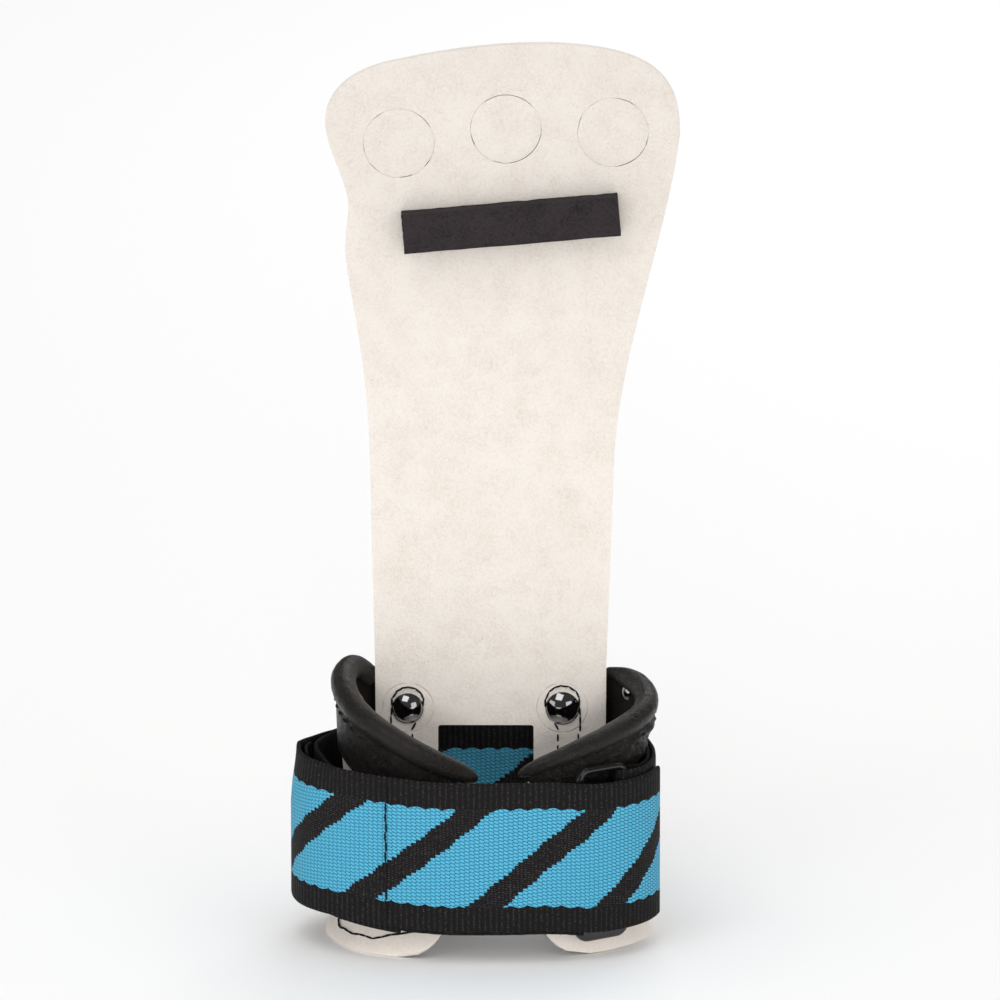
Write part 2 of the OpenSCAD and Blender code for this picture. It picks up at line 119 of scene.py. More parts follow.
@dataclass(frozen=True)
class PlanLoop:
    """A rounded loop in plan: flat at the back, an oval at the front.

    Angles are in degrees: 0 at the right, 90 at the back, 180 at the left and 270 at the front.
    """

    cx: float
    cy: float
    half_width: float
    half_flat: float
    half_depth: float
    roundness: float

    def point(self, u: float, off: float = 0.0) -> Vector:
        """The point at the angle u, moved outwards by off."""
        v, e, f = u % 360, 2 / self.roundness, self.half_flat
        depth = self.half_depth + off
        if v >= 180:
            a = math.radians(v)
            return Vector((self.cx + (self.half_width + off) * power(math.cos(a), e),
                           self.cy + depth * power(math.sin(a), e), 0))
        if 80 <= v <= 100:
            return Vector((self.cx + f * (90 - v) / 10, self.cy + depth, 0))
        side = 1 if v < 80 else -1
        a = math.radians((v if side > 0 else 180 - v) * 9 / 8)
        return Vector((self.cx + side * (f + (self.half_width - f + off) * power(math.cos(a), e)),
                       self.cy + depth * power(math.sin(a), e), 0))

    def outward(self, u: float) -> Vector:
        """The outward direction at the angle u."""
        d = self.point(u + 1) - self.point(u - 1)
        return Vector((d.y, -d.x, 0)).normalized()

    def front_angle(self, x: float) -> float:
        """The angle of the front point that has this x."""
        return 360 - math.degrees(math.acos(power((x - self.cx) / self.half_width, self.roundness / 2)))

    def back_angle(self, x: float) -> float:
        """The angle of the point on the flat back that has this x."""
        return 90 - 10 * (x - self.cx) / self.half_flat


class PlanPath:
    """A line in plan that is read by the length along it."""

    def __init__(self, points: Iterable[Vector]) -> None:
        """Stores the points and the length up to each."""
        self.points = list(points)
        self.lengths = [0.0]
        for a, b in zip(self.points, self.points[1:]):
            self.lengths.append(self.lengths[-1] + (b - a).length)

    @property
    def length(self) -> float:
        """The whole length."""
        return self.lengths[-1]

    def at(self, s: float) -> Vector:
        """The point at the length s."""
        s = max(0.0, min(self.length, s))
        low, high = 0, len(self.lengths) - 1
        while high - low > 1:
            middle = (low + high) // 2
            low, high = (middle, high) if self.lengths[middle] <= s else (low, middle)
        span = self.lengths[high] - self.lengths[low]
        return self.points[low].lerp(self.points[high], (s - self.lengths[low]) / max(span, 1e-9))

    def normal(self, s: float, reach: float = 0.8) -> Vector:
        """The direction to the left of the line at the length s."""
        d = self.at(s + reach) - self.at(s - reach)
        return Vector((-d.y, d.x, 0)).normalized()

    def length_where(self, test: Callable[[Vector], bool]) -> float:
        """The length up to the first point that passes the test."""
        return next(s for s, p in zip(self.lengths, self.points) if test(p))


# ---------------------------------------------------------------- mesh tools


def grid(columns: int, rows: int, place: Place) -> bmesh.types.BMesh:
    """A grid of faces bent into shape.

    Args:
        columns: faces along the first direction.
        rows: faces along the second direction.
        place: gives the point for two shares from 0 to 1.

    Returns:
        The new mesh, in millimetres.
    """
    bm = bmesh.new()
    bmesh.ops.create_grid(bm, x_segments=columns, y_segments=rows, size=1)
    for v in bm.verts:
        v.co = place((v.co.x + 1) / 2, (v.co.y + 1) / 2)
    bm.verts.ensure_lookup_table()
    bm.faces.ensure_lookup_table()
    return bm


def open_edges(bm: bmesh.types.BMesh) -> list[bmesh.types.BMEdge]:
    """The edges that border only one face."""
    return [e for e in bm.edges if e.is_boundary]


def tube(rings: int, sides: int, place: Place, endless: bool = False) -> bmesh.types.BMesh:
    """A closed tube.

    Args:
        rings: faces along the tube.
        sides: faces round it.
        place: gives the point for the share along the tube and the share round it.
        endless: whether the tube's two ends meet.

    Returns:
        The new mesh, with its ends filled.
    """
    bm = grid(rings, sides, place)
    bmesh.ops.remove_doubles(bm, verts=bm.verts[:], dist=WELD)
    if not endless:
        bmesh.ops.holes_fill(bm, edges=open_edges(bm), sides=0)
    bmesh.ops.recalc_face_normals(bm, faces=bm.faces[:])
    return bm


def plate(bm: bmesh.types.BMesh, thickness: float, rim: float, segments: int = 2,
          keep: Callable[[Vector], bool] = lambda p: False) -> bmesh.types.BMesh:
    """Gives an open sheet a thickness and rounds its cut edge.

    Args:
        bm: the sheet, which is changed.
        thickness: how thick it becomes, on the side away from its normals.
        rim: the radius along the cut edge.
        segments: faces across that radius.
        keep: tells which points of the edge stay square.

    Returns:
        The same mesh, closed.
    """
    bmesh.ops.solidify(bm, geom=bm.faces[:], thickness=thickness)
    bmesh.ops.recalc_face_normals(bm, faces=bm.faces[:])
    bm.normal_update()
    edges = [e for e in bm.edges
             if len(e.link_faces) == 2 and e.calc_face_angle(0) > 0.9
             and not all(keep(v.co) for v in e.verts)]
    if rim > 0:
        bmesh.ops.bevel(bm, geom=edges, offset=rim, offset_type="OFFSET", segments=segments,
                        profile=0.5, affect="EDGES", clamp_overlap=True, material=-1)
    return bm


def turned(profile: Sequence[tuple[float, float]], centre: Vector, axis: Vector,
           steps: int = 40) -> bmesh.types.BMesh:
    """A turned shape.

    Args:
        profile: radius and height along the axis, from one end to the other.
        centre: where height 0 is.
        axis: the direction of the height.
        steps: faces round the axis.

    Returns:
        The new mesh.
    """
    bm = bmesh.new()
    up = axis.normalized()
    side = up.orthogonal().normalized()
    chain = [bm.verts.new(centre + side * r + up * h) for r, h in profile]
    edges = [bm.edges.new(pair) for pair in zip(chain, chain[1:])]
    bmesh.ops.spin(bm, geom=chain + edges, cent=centre, axis=up, dvec=(0, 0, 0),
                   angle=math.tau, steps=steps, use_merge=True, use_duplicate=False)
    bmesh.ops.remove_doubles(bm, verts=bm.verts[:], dist=WELD)
    bmesh.ops.recalc_face_normals(bm, faces=bm.faces[:])
    return bm


def add_stitch(bm: bmesh.types.BMesh, centre: Vector, along: Vector, out: Vector,
               length: float, thread: float) -> None:
    """Adds a short thread that dips into the material at both ends.

    Args:
        bm: the mesh that it is added to.
        centre: the point of the surface under the middle of the stitch.
        along: the direction of the stitch.
        out: the direction away from the surface.
        length: the length of the stitch.
        thread: the thread's diameter.
    """
    x = along.normalized()
    z = (out - x * out.dot(x)).normalized()
    y = z.cross(x)
    frame_of = Matrix((x, y, z)).transposed()
    made = bmesh.ops.create_uvsphere(bm, u_segments=8, v_segments=6, radius=1)["verts"]
    for v in made:
        q = Vector((v.co.z, v.co.x, v.co.y))
        w = power(q.x, 0.7)
        local = Vector((w * length / 2, q.y * thread / 2, q.z * thread / 2 + thread * (0.42 - 0.45 * w * w)))
        v.co = centre + frame_of @ local


def piece(bm: bmesh.types.BMesh, name: str, dressing: bpy.types.Material, body: str | None,
          replaces: Sequence[str] = (), crease_deg: float = 42.0) -> bpy.types.Object:
    """Turns a mesh into a finished piece.

    Args:
        bm: the mesh in millimetres, which is freed.
        name: the piece's name.
        dressing: its material.
        body: the body that it rides on, or None to leave it without one.
        replaces: the CAD nodes that it stands for.
        crease_deg: edges sharper than this stay crisp.

    Returns:
        The new object.
    """
    bmesh.ops.scale(bm, vec=(MM, MM, MM), verts=bm.verts[:])
    mesh = bpy.data.meshes.new(name)
    bm.to_mesh(mesh)
    bm.free()
    mesh.shade_smooth()
    mesh.set_sharp_from_angle(angle=math.radians(crease_deg))
    mesh.materials.append(dressing)
    obj = bpy.data.objects.new(name, mesh)
    bpy.context.collection.objects.link(obj)
    if body:
        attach(obj, body)
    if replaces:
        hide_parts(*replaces)
    log.info("%s: %d faces, stands for %s", name, len(mesh.polygons), ", ".join(replaces) or "nothing")
    return obj


def drill(obj: bpy.types.Object, holes: Iterable[tuple[float, float, float]], y0: float, y1: float,
          notch: tuple[float, float, float] | None = None) -> None:
    """Cuts round holes through a piece, along Y.

    Args:
        obj: the piece.
        holes: x, z and radius of each.
        y0: where the holes start.
        y1: where they end.
        notch: the left, right and top of an opening that is cut from below, if there is one.
    """
    bm = bmesh.new()
    if notch:
        left, right, top = notch
        low = -5.0
        size = Matrix.Diagonal(((right - left) * MM, (y1 - y0) * MM, (top - low) * MM, 1))
        at = Matrix.Translation(((left + right) / 2 * MM, (y0 + y1) / 2 * MM, (top + low) / 2 * MM))
        box = bmesh.ops.create_cube(bm, size=1, matrix=at @ size)["verts"]
        upper = [e for e in bm.edges if all(v in box and v.co.z > 0 for v in e.verts)
                 and abs(e.verts[0].co.x - e.verts[1].co.x) < 1e-6]
        bmesh.ops.bevel(bm, geom=upper, offset=0.7 * MM, offset_type="OFFSET", segments=4, profile=0.5,
                        affect="EDGES", material=-1)
    for x, z, radius in holes:
        place = Matrix.Translation((x * MM, (y0 + y1) / 2 * MM, z * MM)) @ Matrix.Rotation(math.pi / 2, 4,
                                                                                           "X")
        bmesh.ops.create_cone(bm, cap_ends=True, segments=96, radius1=radius * MM, radius2=radius * MM,
                              depth=(y1 - y0) * MM, matrix=place)
    mesh = bpy.data.meshes.new("drill")
    bm.to_mesh(mesh)
    bm.free()
    tool = bpy.data.objects.new("drill", mesh)
    bpy.context.collection.objects.link(tool)
    cut = obj.modifiers.new("holes", "BOOLEAN")
    cut.operation, cut.solver, cut.object = "DIFFERENCE", "EXACT", tool
    bpy.context.view_layer.update()
    made = bpy.data.meshes.new_from_object(obj.evaluated_get(bpy.context.evaluated_depsgraph_get()))
    obj.modifiers.remove(cut)
    old, obj.data = obj.data, made
    made.name = obj.name
    made.shade_smooth()
    made.set_sharp_from_angle(angle=math.radians(42))
    bpy.data.meshes.remove(old)
    bpy.data.objects.remove(tool)
    bpy.data.meshes.remove(mesh)


# ---------------------------------------------------------------- materials


class Graph:
    """Adds and joins shader nodes in a material or a node group."""

    def __init__(self, tree: bpy.types.NodeTree) -> None:
        """Starts in an empty tree."""
        self.tree = tree

    def add(self, kind: str, **settings: object) -> bpy.types.Node:
        """Adds a node and sets its properties."""
        node = self.tree.nodes.new(kind)
        for key, value in settings.items():
            setattr(node, key, value)
        return node

    def feed(self, socket: bpy.types.NodeSocket, value: object) -> None:
        """Links a socket's source to it, or sets its value."""
        if isinstance(value, bpy.types.NodeSocket):
            self.tree.links.new(value, socket)
        else:
            socket.default_value = value

    def math(self, operation: str, *values: object) -> bpy.types.NodeSocket:
        """A math node's output."""
        node = self.add("ShaderNodeMath", operation=operation)
        for socket, value in zip(node.inputs, values):
            self.feed(socket, value)
        return node.outputs[0]

    def total(self, *values: object) -> bpy.types.NodeSocket:
        """The sum of several values."""
        result = values[0]
        for value in values[1:]:
            result = self.math("ADD", result, value)
        return result

    def step(self, value: object, low: float, high: float, to_low: float = 0.0,
             to_high: float = 1.0) -> bpy.types.NodeSocket:
        """A smooth step of a value between two limits."""
        node = self.add("ShaderNodeMapRange", interpolation_type="SMOOTHSTEP")
        for name, v in (("Value", value), ("From Min", low), ("From Max", high),
                        ("To Min", to_low), ("To Max", to_high)):
            self.feed(node.inputs[name], v)
        return node.outputs["Result"]

    def noise(self, vector: object, scale: float, detail: float = 4.0,
              rough: float = 0.55) -> bpy.types.NodeSocket:
        """Noise from 0 to 1 at a scale in features for each metre."""
        node = self.add("ShaderNodeTexNoise")
        for name, v in (("Vector", vector), ("Scale", scale), ("Detail", detail), ("Roughness", rough)):
            self.feed(node.inputs[name], v)
        return node.outputs["Fac"]

    def cells(self, vector: object, scale: float, feature: str = "DISTANCE_TO_EDGE") -> bpy.types.NodeSocket:
        """The distance in a pattern of cells."""
        node = self.add("ShaderNodeTexVoronoi", feature=feature)
        self.feed(node.inputs["Vector"], vector)
        self.feed(node.inputs["Scale"], scale)
        return node.outputs["Distance"]

    def blend(self, share: object, a: object, b: object) -> bpy.types.NodeSocket:
        """A mix of two colours."""
        node = self.add("ShaderNodeMix", data_type="RGBA")
        self.feed(node.inputs["Factor"], share)
        self.feed(node.inputs["A"], a)
        self.feed(node.inputs["B"], b)
        return node.outputs["Result"]

    def place(self) -> bpy.types.NodeSocket:
        """The point in the object's own space."""
        return self.add("ShaderNodeTexCoord").outputs["Object"]

    def group(self, tree: bpy.types.NodeTree, **values: object) -> bpy.types.Node:
        """Places a node group and sets its inputs, whose names have spaces for underscores."""
        node = self.add("ShaderNodeGroup", node_tree=tree)
        for key, value in values.items():
            self.feed(node.inputs[key.replace("_", " ")], value)
        return node


def open_group(name: str, inputs: dict[str, object], outputs: Sequence[str]
               ) -> tuple[bpy.types.NodeTree, Graph, dict[str, bpy.types.NodeSocket], bpy.types.Node]:
    """Starts a node group.

    Args:
        name: the group's name.
        inputs: the default of each input; a vector has three numbers.
        outputs: the names of the outputs, which are all numbers.

    Returns:
        The group, its graph, its inputs as sockets and its output node.
    """
    tree = bpy.data.node_groups.new(name, "ShaderNodeTree")
    for key, value in inputs.items():
        vector = isinstance(value, tuple)
        socket = tree.interface.new_socket(name=key, in_out="INPUT",
                                           socket_type="NodeSocketVector" if vector else "NodeSocketFloat")
        if not vector:
            socket.default_value = value
    for key in outputs:
        tree.interface.new_socket(name=key, in_out="OUTPUT", socket_type="NodeSocketFloat")
    graph = Graph(tree)
    source = graph.add("NodeGroupInput")
    sink = graph.add("NodeGroupOutput")
    return tree, graph, {key: source.outputs[key] for key in inputs}, sink


class Effects:
    """The node groups that several materials share, each built once."""

    def __init__(self) -> None:
        """Builds the groups."""
        self.nap = self._nap()
        self.grain = self._grain()
        self.soil = self._soil()
        self.threads = self._threads()

    @staticmethod
    def _nap() -> bpy.types.NodeTree:
        """The short brushed fibres of split leather: Shade from 0 to 1, and Height."""
        tree, g, given, sink = open_group(
            "brushed_nap", {"Point": (0, 0, 0), "Fibre": 1500.0, "Mottle": 160.0}, ("Shade", "Height"))
        warp = g.add("ShaderNodeTexNoise")
        g.feed(warp.inputs["Vector"], given["Point"])
        g.feed(warp.inputs["Scale"], 420.0)
        shift = g.add("ShaderNodeVectorMath", operation="SCALE")
        g.feed(shift.inputs[0], warp.outputs["Color"])
        g.feed(shift.inputs["Scale"], 0.0016)
        moved = g.add("ShaderNodeVectorMath", operation="ADD")
        g.feed(moved.inputs[0], given["Point"])
        g.feed(moved.inputs[1], shift.outputs[0])
        fine = g.noise(moved.outputs[0], given["Fibre"], 6.0, 0.62)
        broad = g.noise(given["Point"], given["Mottle"], 5.0, 0.6)
        pits = g.step(g.cells(moved.outputs[0], g.math("MULTIPLY", given["Fibre"], 0.55), "F1"), 0.02, 0.3)
        g.feed(sink.inputs["Shade"], g.math("MULTIPLY", g.total(
            g.math("MULTIPLY", fine, 0.62), g.math("MULTIPLY", broad, 0.38)),
            g.step(pits, 0.0, 1.0, 0.82, 1.0)))
        g.feed(sink.inputs["Height"], g.total(g.math("MULTIPLY", fine, 0.8), g.math("MULTIPLY", pits, 0.2)))
        return tree

    @staticmethod
    def _grain() -> bpy.types.NodeTree:
        """Smooth leather: fine pores and soft creases, as Height and Pores."""
        tree, g, given, sink = open_group(
            "leather_grain", {"Point": (0, 0, 0), "Pores": 1900.0, "Creases": 210.0}, ("Height", "Pores"))
        pores = g.step(g.cells(given["Point"], given["Pores"]), 0.0, 0.16)
        crease = g.noise(given["Point"], given["Creases"], 6.0, 0.6)
        ridged = g.step(g.math("ABSOLUTE", g.math("SUBTRACT", crease, 0.5)), 0.0, 0.045)
        g.feed(sink.inputs["Height"], g.total(g.math("MULTIPLY", pores, 0.45), g.math("MULTIPLY", ridged,
                                                                                      0.25),
                                              g.math("MULTIPLY", crease, 0.9)))
        g.feed(sink.inputs["Pores"], pores)
        return tree

    @staticmethod
    def _soil() -> bpy.types.NodeTree:
        """Handling marks: broad uneven patches and rare small specks, as Patches and Specks."""
        tree, g, given, sink = open_group("soil", {"Point": (0, 0, 0), "Patch": 34.0}, ("Patches", "Specks"))
        g.feed(sink.inputs["Patches"], g.step(g.noise(given["Point"], given["Patch"], 5.0, 0.65), 0.38, 0.72))
        seen = g.cells(given["Point"], 310.0, "F1")
        g.feed(sink.inputs["Specks"], g.math("MULTIPLY", g.step(seen, 0.05, 0.13, 1.0, 0.0),
                                             g.step(g.noise(given["Point"], 260.0, 2.0), 0.55, 0.66)))
        return tree

    @staticmethod
    def _threads() -> bpy.types.NodeTree:
        """A lattice of woven threads over a map whose unit is UV_MM for a millimetre.

        Each column of threads is shifted against the last, as in a twill. Height is the round
        of each float, the gap output the corners between them, where the floats dip and which are used for
        painted shade, and Column and Row the lattice's steps.
        """
        tree, g, given, sink = open_group(
            "woven_threads", {"Map": (0, 0, 0), "Wide": 1.25, "High": 0.95, "Shift": 0.36},
            ("Height", "Gap", "Column", "Row"))
        parts = g.add("ShaderNodeSeparateXYZ")
        g.feed(parts.inputs[0], given["Map"])
        across = g.math("DIVIDE", g.math("DIVIDE", parts.outputs["X"], UV_MM), given["Wide"])
        column = g.math("FLOOR", across)
        up = g.math("ADD", g.math("DIVIDE", g.math("DIVIDE", parts.outputs["Y"], UV_MM), given["High"]),
                    g.math("MULTIPLY", across, given["Shift"]))
        fx = g.math("SUBTRACT", g.math("MULTIPLY", g.math("FRACT", across), 2.0), 1.0)
        brick = g.math("ADD", up, g.math("MULTIPLY", column, 0.5))
        fy = g.math("SUBTRACT", g.math("MULTIPLY", g.math("FRACT", brick), 2.0), 1.0)
        x2, y2 = g.math("MULTIPLY", fx, fx), g.math("MULTIPLY", fy, fy)
        tall = g.math("SUBTRACT", 1.0, g.math("MULTIPLY", y2, y2))
        long = g.math("SUBTRACT", 1.0, g.math("MULTIPLY", g.math("MULTIPLY", x2, x2), 0.4))
        g.feed(sink.inputs["Height"], g.math("MULTIPLY", tall, long))
        g.feed(sink.inputs["Gap"], g.step(g.math("MULTIPLY", y2, g.math("ADD", g.math(
            "MULTIPLY", x2, 0.5), 0.5)), 0.42, 0.72))
        g.feed(sink.inputs["Column"], column)
        g.feed(sink.inputs["Row"], g.math("FLOOR", brick))
        return tree


@dataclass(frozen=True)
class Finish:
    """A finish: its name and the values of the shader that are the same all over."""

    name: str
    roughness: float = 0.6
    metallic: float = 0.0
    sheen: float = 0.0
    coat: float = 0.0
    specular: float = 0.5

    def start(self) -> tuple[bpy.types.Material, Graph, bpy.types.Node]:
        """Makes the material and its shader.

        Returns:
            The material, its graph and its Principled BSDF node.
        """
        material = bpy.data.materials.new(self.name)
        material.use_nodes = True
        graph = Graph(material.node_tree)
        shader = material.node_tree.nodes["Principled BSDF"]
        for key, value in (("Roughness", self.roughness), ("Metallic", self.metallic),
                           ("Sheen Weight", self.sheen), ("Coat Weight", self.coat),
                           ("Specular IOR Level", self.specular)):
            shader.inputs[key].default_value = value
        if self.sheen:
            shader.inputs["Sheen Roughness"].default_value = 0.45
        if self.coat:
            shader.inputs["Coat Roughness"].default_value = 0.12
        return material, graph, shader

    @staticmethod
    def relief(g: Graph, shader: bpy.types.Node, height: object, depth_mm: float,
               strength: float = 1.0) -> None:
        """Feeds a height to the shader's normal.

        Args:
            g: the material's graph.
            shader: its Principled BSDF node.
            height: the height, from 0 to about 1.
            depth_mm: what a height of 1 is.
            strength: the strength of the bump.
        """
        bump = g.add("ShaderNodeBump")
        g.feed(bump.inputs["Height"], height)
        g.feed(bump.inputs["Distance"], depth_mm * MM)
        g.feed(bump.inputs["Strength"], strength)
        g.feed(shader.inputs["Normal"], bump.outputs["Normal"])


@dataclass(frozen=True)
class NapLeather(Finish):
    """Chrome-tanned leather with its brushed side out."""

    light: tuple[float, float, float] = (0.86, 0.80, 0.735)
    dark: tuple[float, float, float] = (0.71, 0.635, 0.56)
    soiled: tuple[float, float, float] = (0.58, 0.50, 0.43)
    soil: float = 0.09
    depth_mm: float = 0.22
    prints: tuple[tuple[float, float, float], ...] = ()

    def build(self, effects: Effects) -> bpy.types.Material:
        """Builds the material."""
        material, g, shader = self.start()
        point = g.place()
        nap = g.group(effects.nap, Point=point)
        marks = g.group(effects.soil, Point=point)
        colour = g.blend(g.step(nap.outputs["Shade"], 0.22, 0.6), (*self.dark, 1), (*self.light, 1))
        share = g.math("ADD", g.math("MULTIPLY", marks.outputs["Patches"], self.soil),
                       g.math("MULTIPLY", marks.outputs["Specks"], min(1.0, self.soil * 2.2)))
        height = nap.outputs["Height"]
        for x, z, radius in self.prints:
            flat = g.add("ShaderNodeVectorMath", operation="MULTIPLY")
            g.feed(flat.inputs[0], point)
            g.feed(flat.inputs[1], (1, 0, 1))
            apart = g.add("ShaderNodeVectorMath", operation="DISTANCE")
            g.feed(apart.inputs[0], flat.outputs[0])
            g.feed(apart.inputs[1], (x * MM, 0, z * MM))
            off = g.math("ABSOLUTE", g.math("SUBTRACT", apart.outputs["Value"], radius * MM))
            line = g.step(off, 0.0, 0.00034, 1.0, 0.0)
            broken = g.math("MULTIPLY", line, g.step(g.noise(point, 240.0, 2.0), 0.38, 0.6, 0.15, 1.0))
            share = g.math("ADD", share, g.math("MULTIPLY", broken, 0.4))
            height = g.math("SUBTRACT", height, g.math("MULTIPLY", broken, 0.6))
        g.feed(shader.inputs["Base Color"], g.blend(share, colour, (*self.soiled, 1)))
        g.feed(shader.inputs["Roughness"], g.step(nap.outputs["Shade"], 0.2, 0.7, 0.98, 0.86))
        self.relief(g, shader, height, self.depth_mm)
        return material


@dataclass(frozen=True)
class SmoothLeather(Finish):
    """Black finished leather with pores and creases."""

    colour: tuple[float, float, float] = (0.0105, 0.0086, 0.0077)
    worn: tuple[float, float, float] = (0.022, 0.018, 0.016)
    pores: float = 1900.0
    creases: float = 210.0
    depth_mm: float = 0.16

    def build(self, effects: Effects) -> bpy.types.Material:
        """Builds the material."""
        material, g, shader = self.start()
        point = g.place()
        grain = g.group(effects.grain, Point=point, Pores=self.pores, Creases=self.creases)
        marks = g.group(effects.soil, Point=point, Patch=70.0)
        g.feed(shader.inputs["Base Color"],
               g.blend(g.math("MULTIPLY", marks.outputs["Patches"], 0.6), (*self.colour, 1), (*self.worn, 1)))
        g.feed(shader.inputs["Roughness"], g.total(
            self.roughness, g.math("MULTIPLY", marks.outputs["Patches"], 0.1),
            g.math("MULTIPLY", grain.outputs["Pores"], -0.1)))
        self.relief(g, shader, grain.outputs["Height"], self.depth_mm, 0.8)
        return material


@dataclass(frozen=True)
class Webbing(Finish):
    """Woven strap with blue slanted blocks between ribbed black edges, read from the strap's own map."""

    blue: tuple[float, float, float] = (0.041, 0.29, 0.465)
    blue_crown_highlight: tuple[float, float, float] = (0.098, 0.435, 0.63)
    black: tuple[float, float, float] = (0.010, 0.009, 0.0095)
    grey_fleck_highlight: tuple[float, float, float] = (0.075, 0.07, 0.07)
    period: float = 33.0
    block: float = 23.5
    band: tuple[float, float] = (6.7, 33.2)
    slant: float = 1.17
    rib: float = 1.45
    has_blocks: bool = True

    def build(self, effects: Effects) -> bpy.types.Material:
        """Builds the material."""
        material, g, shader = self.start()
        uv = g.add("ShaderNodeUVMap", uv_map="UVMap").outputs["UV"]
        parts = g.add("ShaderNodeSeparateXYZ")
        g.feed(parts.inputs[0], uv)
        s = g.math("DIVIDE", parts.outputs["X"], UV_MM)
        h = g.math("DIVIDE", parts.outputs["Y"], UV_MM)
        floats = g.group(effects.threads, Map=uv)
        fine = g.group(effects.threads, Map=uv, Wide=0.95, High=0.62, Shift=-0.3)
        fuzz = g.noise(g.place(), 2600.0, 3.0)
        ribs = g.math("ABSOLUTE", g.math("SINE", g.math("MULTIPLY", s, math.pi / self.rib)))
        cross = g.math("ABSOLUTE", g.math("SINE", g.math("MULTIPLY", h, math.pi / 0.55)))
        rib_height = g.math("MULTIPLY", ribs, g.step(cross, 0.0, 0.7, 0.45, 1.0))
        if self.has_blocks:
            step_s = g.math("MULTIPLY", floats.outputs["Column"], 1.25)
            step_h = g.math("MULTIPLY", g.math("FLOOR", g.math("DIVIDE", h, 0.9)), 0.9)
            lean = g.math("MULTIPLY", g.math("SUBTRACT", step_h, self.band[1] - 0.4), self.slant)
            phase = g.math("FRACT", g.math("DIVIDE", g.math("SUBTRACT", g.total(
                g.math("MULTIPLY", s, 0.35), g.math("MULTIPLY", step_s, 0.65)), lean), self.period))
            in_block = g.math("LESS_THAN", phase, self.block / self.period)
            scallop = g.math("MULTIPLY", g.math("ABSOLUTE", g.math("SINE", g.math(
                "MULTIPLY", s, math.pi / 4.4))), 0.6)
            above = g.math("GREATER_THAN", h, g.math("SUBTRACT", self.band[0] + 0.5, scallop))
            below = g.math("LESS_THAN", h, g.math("ADD", self.band[1] - 0.5, scallop))
            blocks = g.math("MULTIPLY", in_block, g.math("MULTIPLY", above, below))
            middle = g.math("MULTIPLY", g.math("GREATER_THAN", h, self.band[0]),
                            g.math("LESS_THAN", h, self.band[1]))
        else:
            blocks, middle = 0.0, 0.0
        ground_height = self._choose(g, middle, rib_height, fine.outputs["Height"])
        height = self._choose(g, blocks, g.math("MULTIPLY", ground_height, 0.8), g.math(
            "ADD", floats.outputs["Height"], 0.25))
        # Grey flecks on the black ground: partly fibre fuzz, partly painted highlight, as the mask is
        # weighted by the height of the ribs and threads so that their crowns come out lighter.
        fleck_and_crown_highlight = g.math("MULTIPLY", g.step(g.math("MULTIPLY", ground_height, fuzz), 0.42, 0.66), 0.7)
        ground = g.blend(fleck_and_crown_highlight, (*self.black, 1), (*self.grey_fleck_highlight, 1))
        # Painted highlight: the blue floats are coloured lighter towards their crowns, where the thread's
        # height is greatest.
        highlit_blue = g.blend(g.step(g.math("MULTIPLY", floats.outputs["Height"],
                                    g.step(fuzz, 0.2, 0.8, 0.7, 1.1)), 0.3, 1.0),
                      (*self.blue, 1), (*self.blue_crown_highlight, 1))
        # Painted shade: the corners between the floats, where they dip, are coloured towards black.
        blue_with_painted_shade = g.blend(g.math("MULTIPLY", floats.outputs["Gap"], 0.9), highlit_blue, (*self.black, 1))
        g.feed(shader.inputs["Base Color"], g.blend(blocks, ground, blue_with_painted_shade))
        g.feed(shader.inputs["Roughness"], g.step(height, 0.0, 1.0, 0.85, self.roughness))
        self.relief(g, shader, g.math("ADD", height, g.math("MULTIPLY", fuzz, 0.15)), 0.3, 0.9)
        return material

    @staticmethod
    def _choose(g: Graph, share: object, a: object, b: object) -> bpy.types.NodeSocket:
        """A mix of two numbers."""
        node = g.add("ShaderNodeMix", data_type="FLOAT")
        g.feed(node.inputs["Factor"], share)
        g.feed(node.inputs["A"], a)
        g.feed(node.inputs["B"], b)
        return node.outputs["Result"]


@dataclass(frozen=True)
class Plain(Finish):
    """A hard or fibrous finish of one colour with fine noise, such as metal, plastic, wood or thread."""

    colour: tuple[float, float, float] = (0.02, 0.02, 0.02)
    second: tuple[float, float, float] = (0.04, 0.04, 0.04)
    scale: float = 900.0
    stretch: tuple[float, float, float] = (1.0, 1.0, 1.0)
    depth_mm: float = 0.02
    vary: float = 0.08

    def build(self, effects: Effects) -> bpy.types.Material:
        """Builds the material."""
        material, g, shader = self.start()
        mapping = g.add("ShaderNodeMapping")
        g.feed(mapping.inputs["Vector"], g.place())
        mapping.inputs["Scale"].default_value = self.stretch
        point = mapping.outputs["Vector"]
        grain = g.noise(point, self.scale, 6.0, 0.6)
        marks = g.group(effects.soil, Point=point, Patch=120.0)
        g.feed(shader.inputs["Base Color"], g.blend(g.step(grain, 0.35, 0.7), (*self.colour, 1),
                                                    (*self.second, 1)))
        g.feed(shader.inputs["Roughness"], g.total(
            self.roughness, g.math("MULTIPLY", marks.outputs["Patches"], self.vary),
            g.math("MULTIPLY", marks.outputs["Specks"], self.vary * 2)))
        self.relief(g, shader, grain, self.depth_mm, 0.6)
        return material


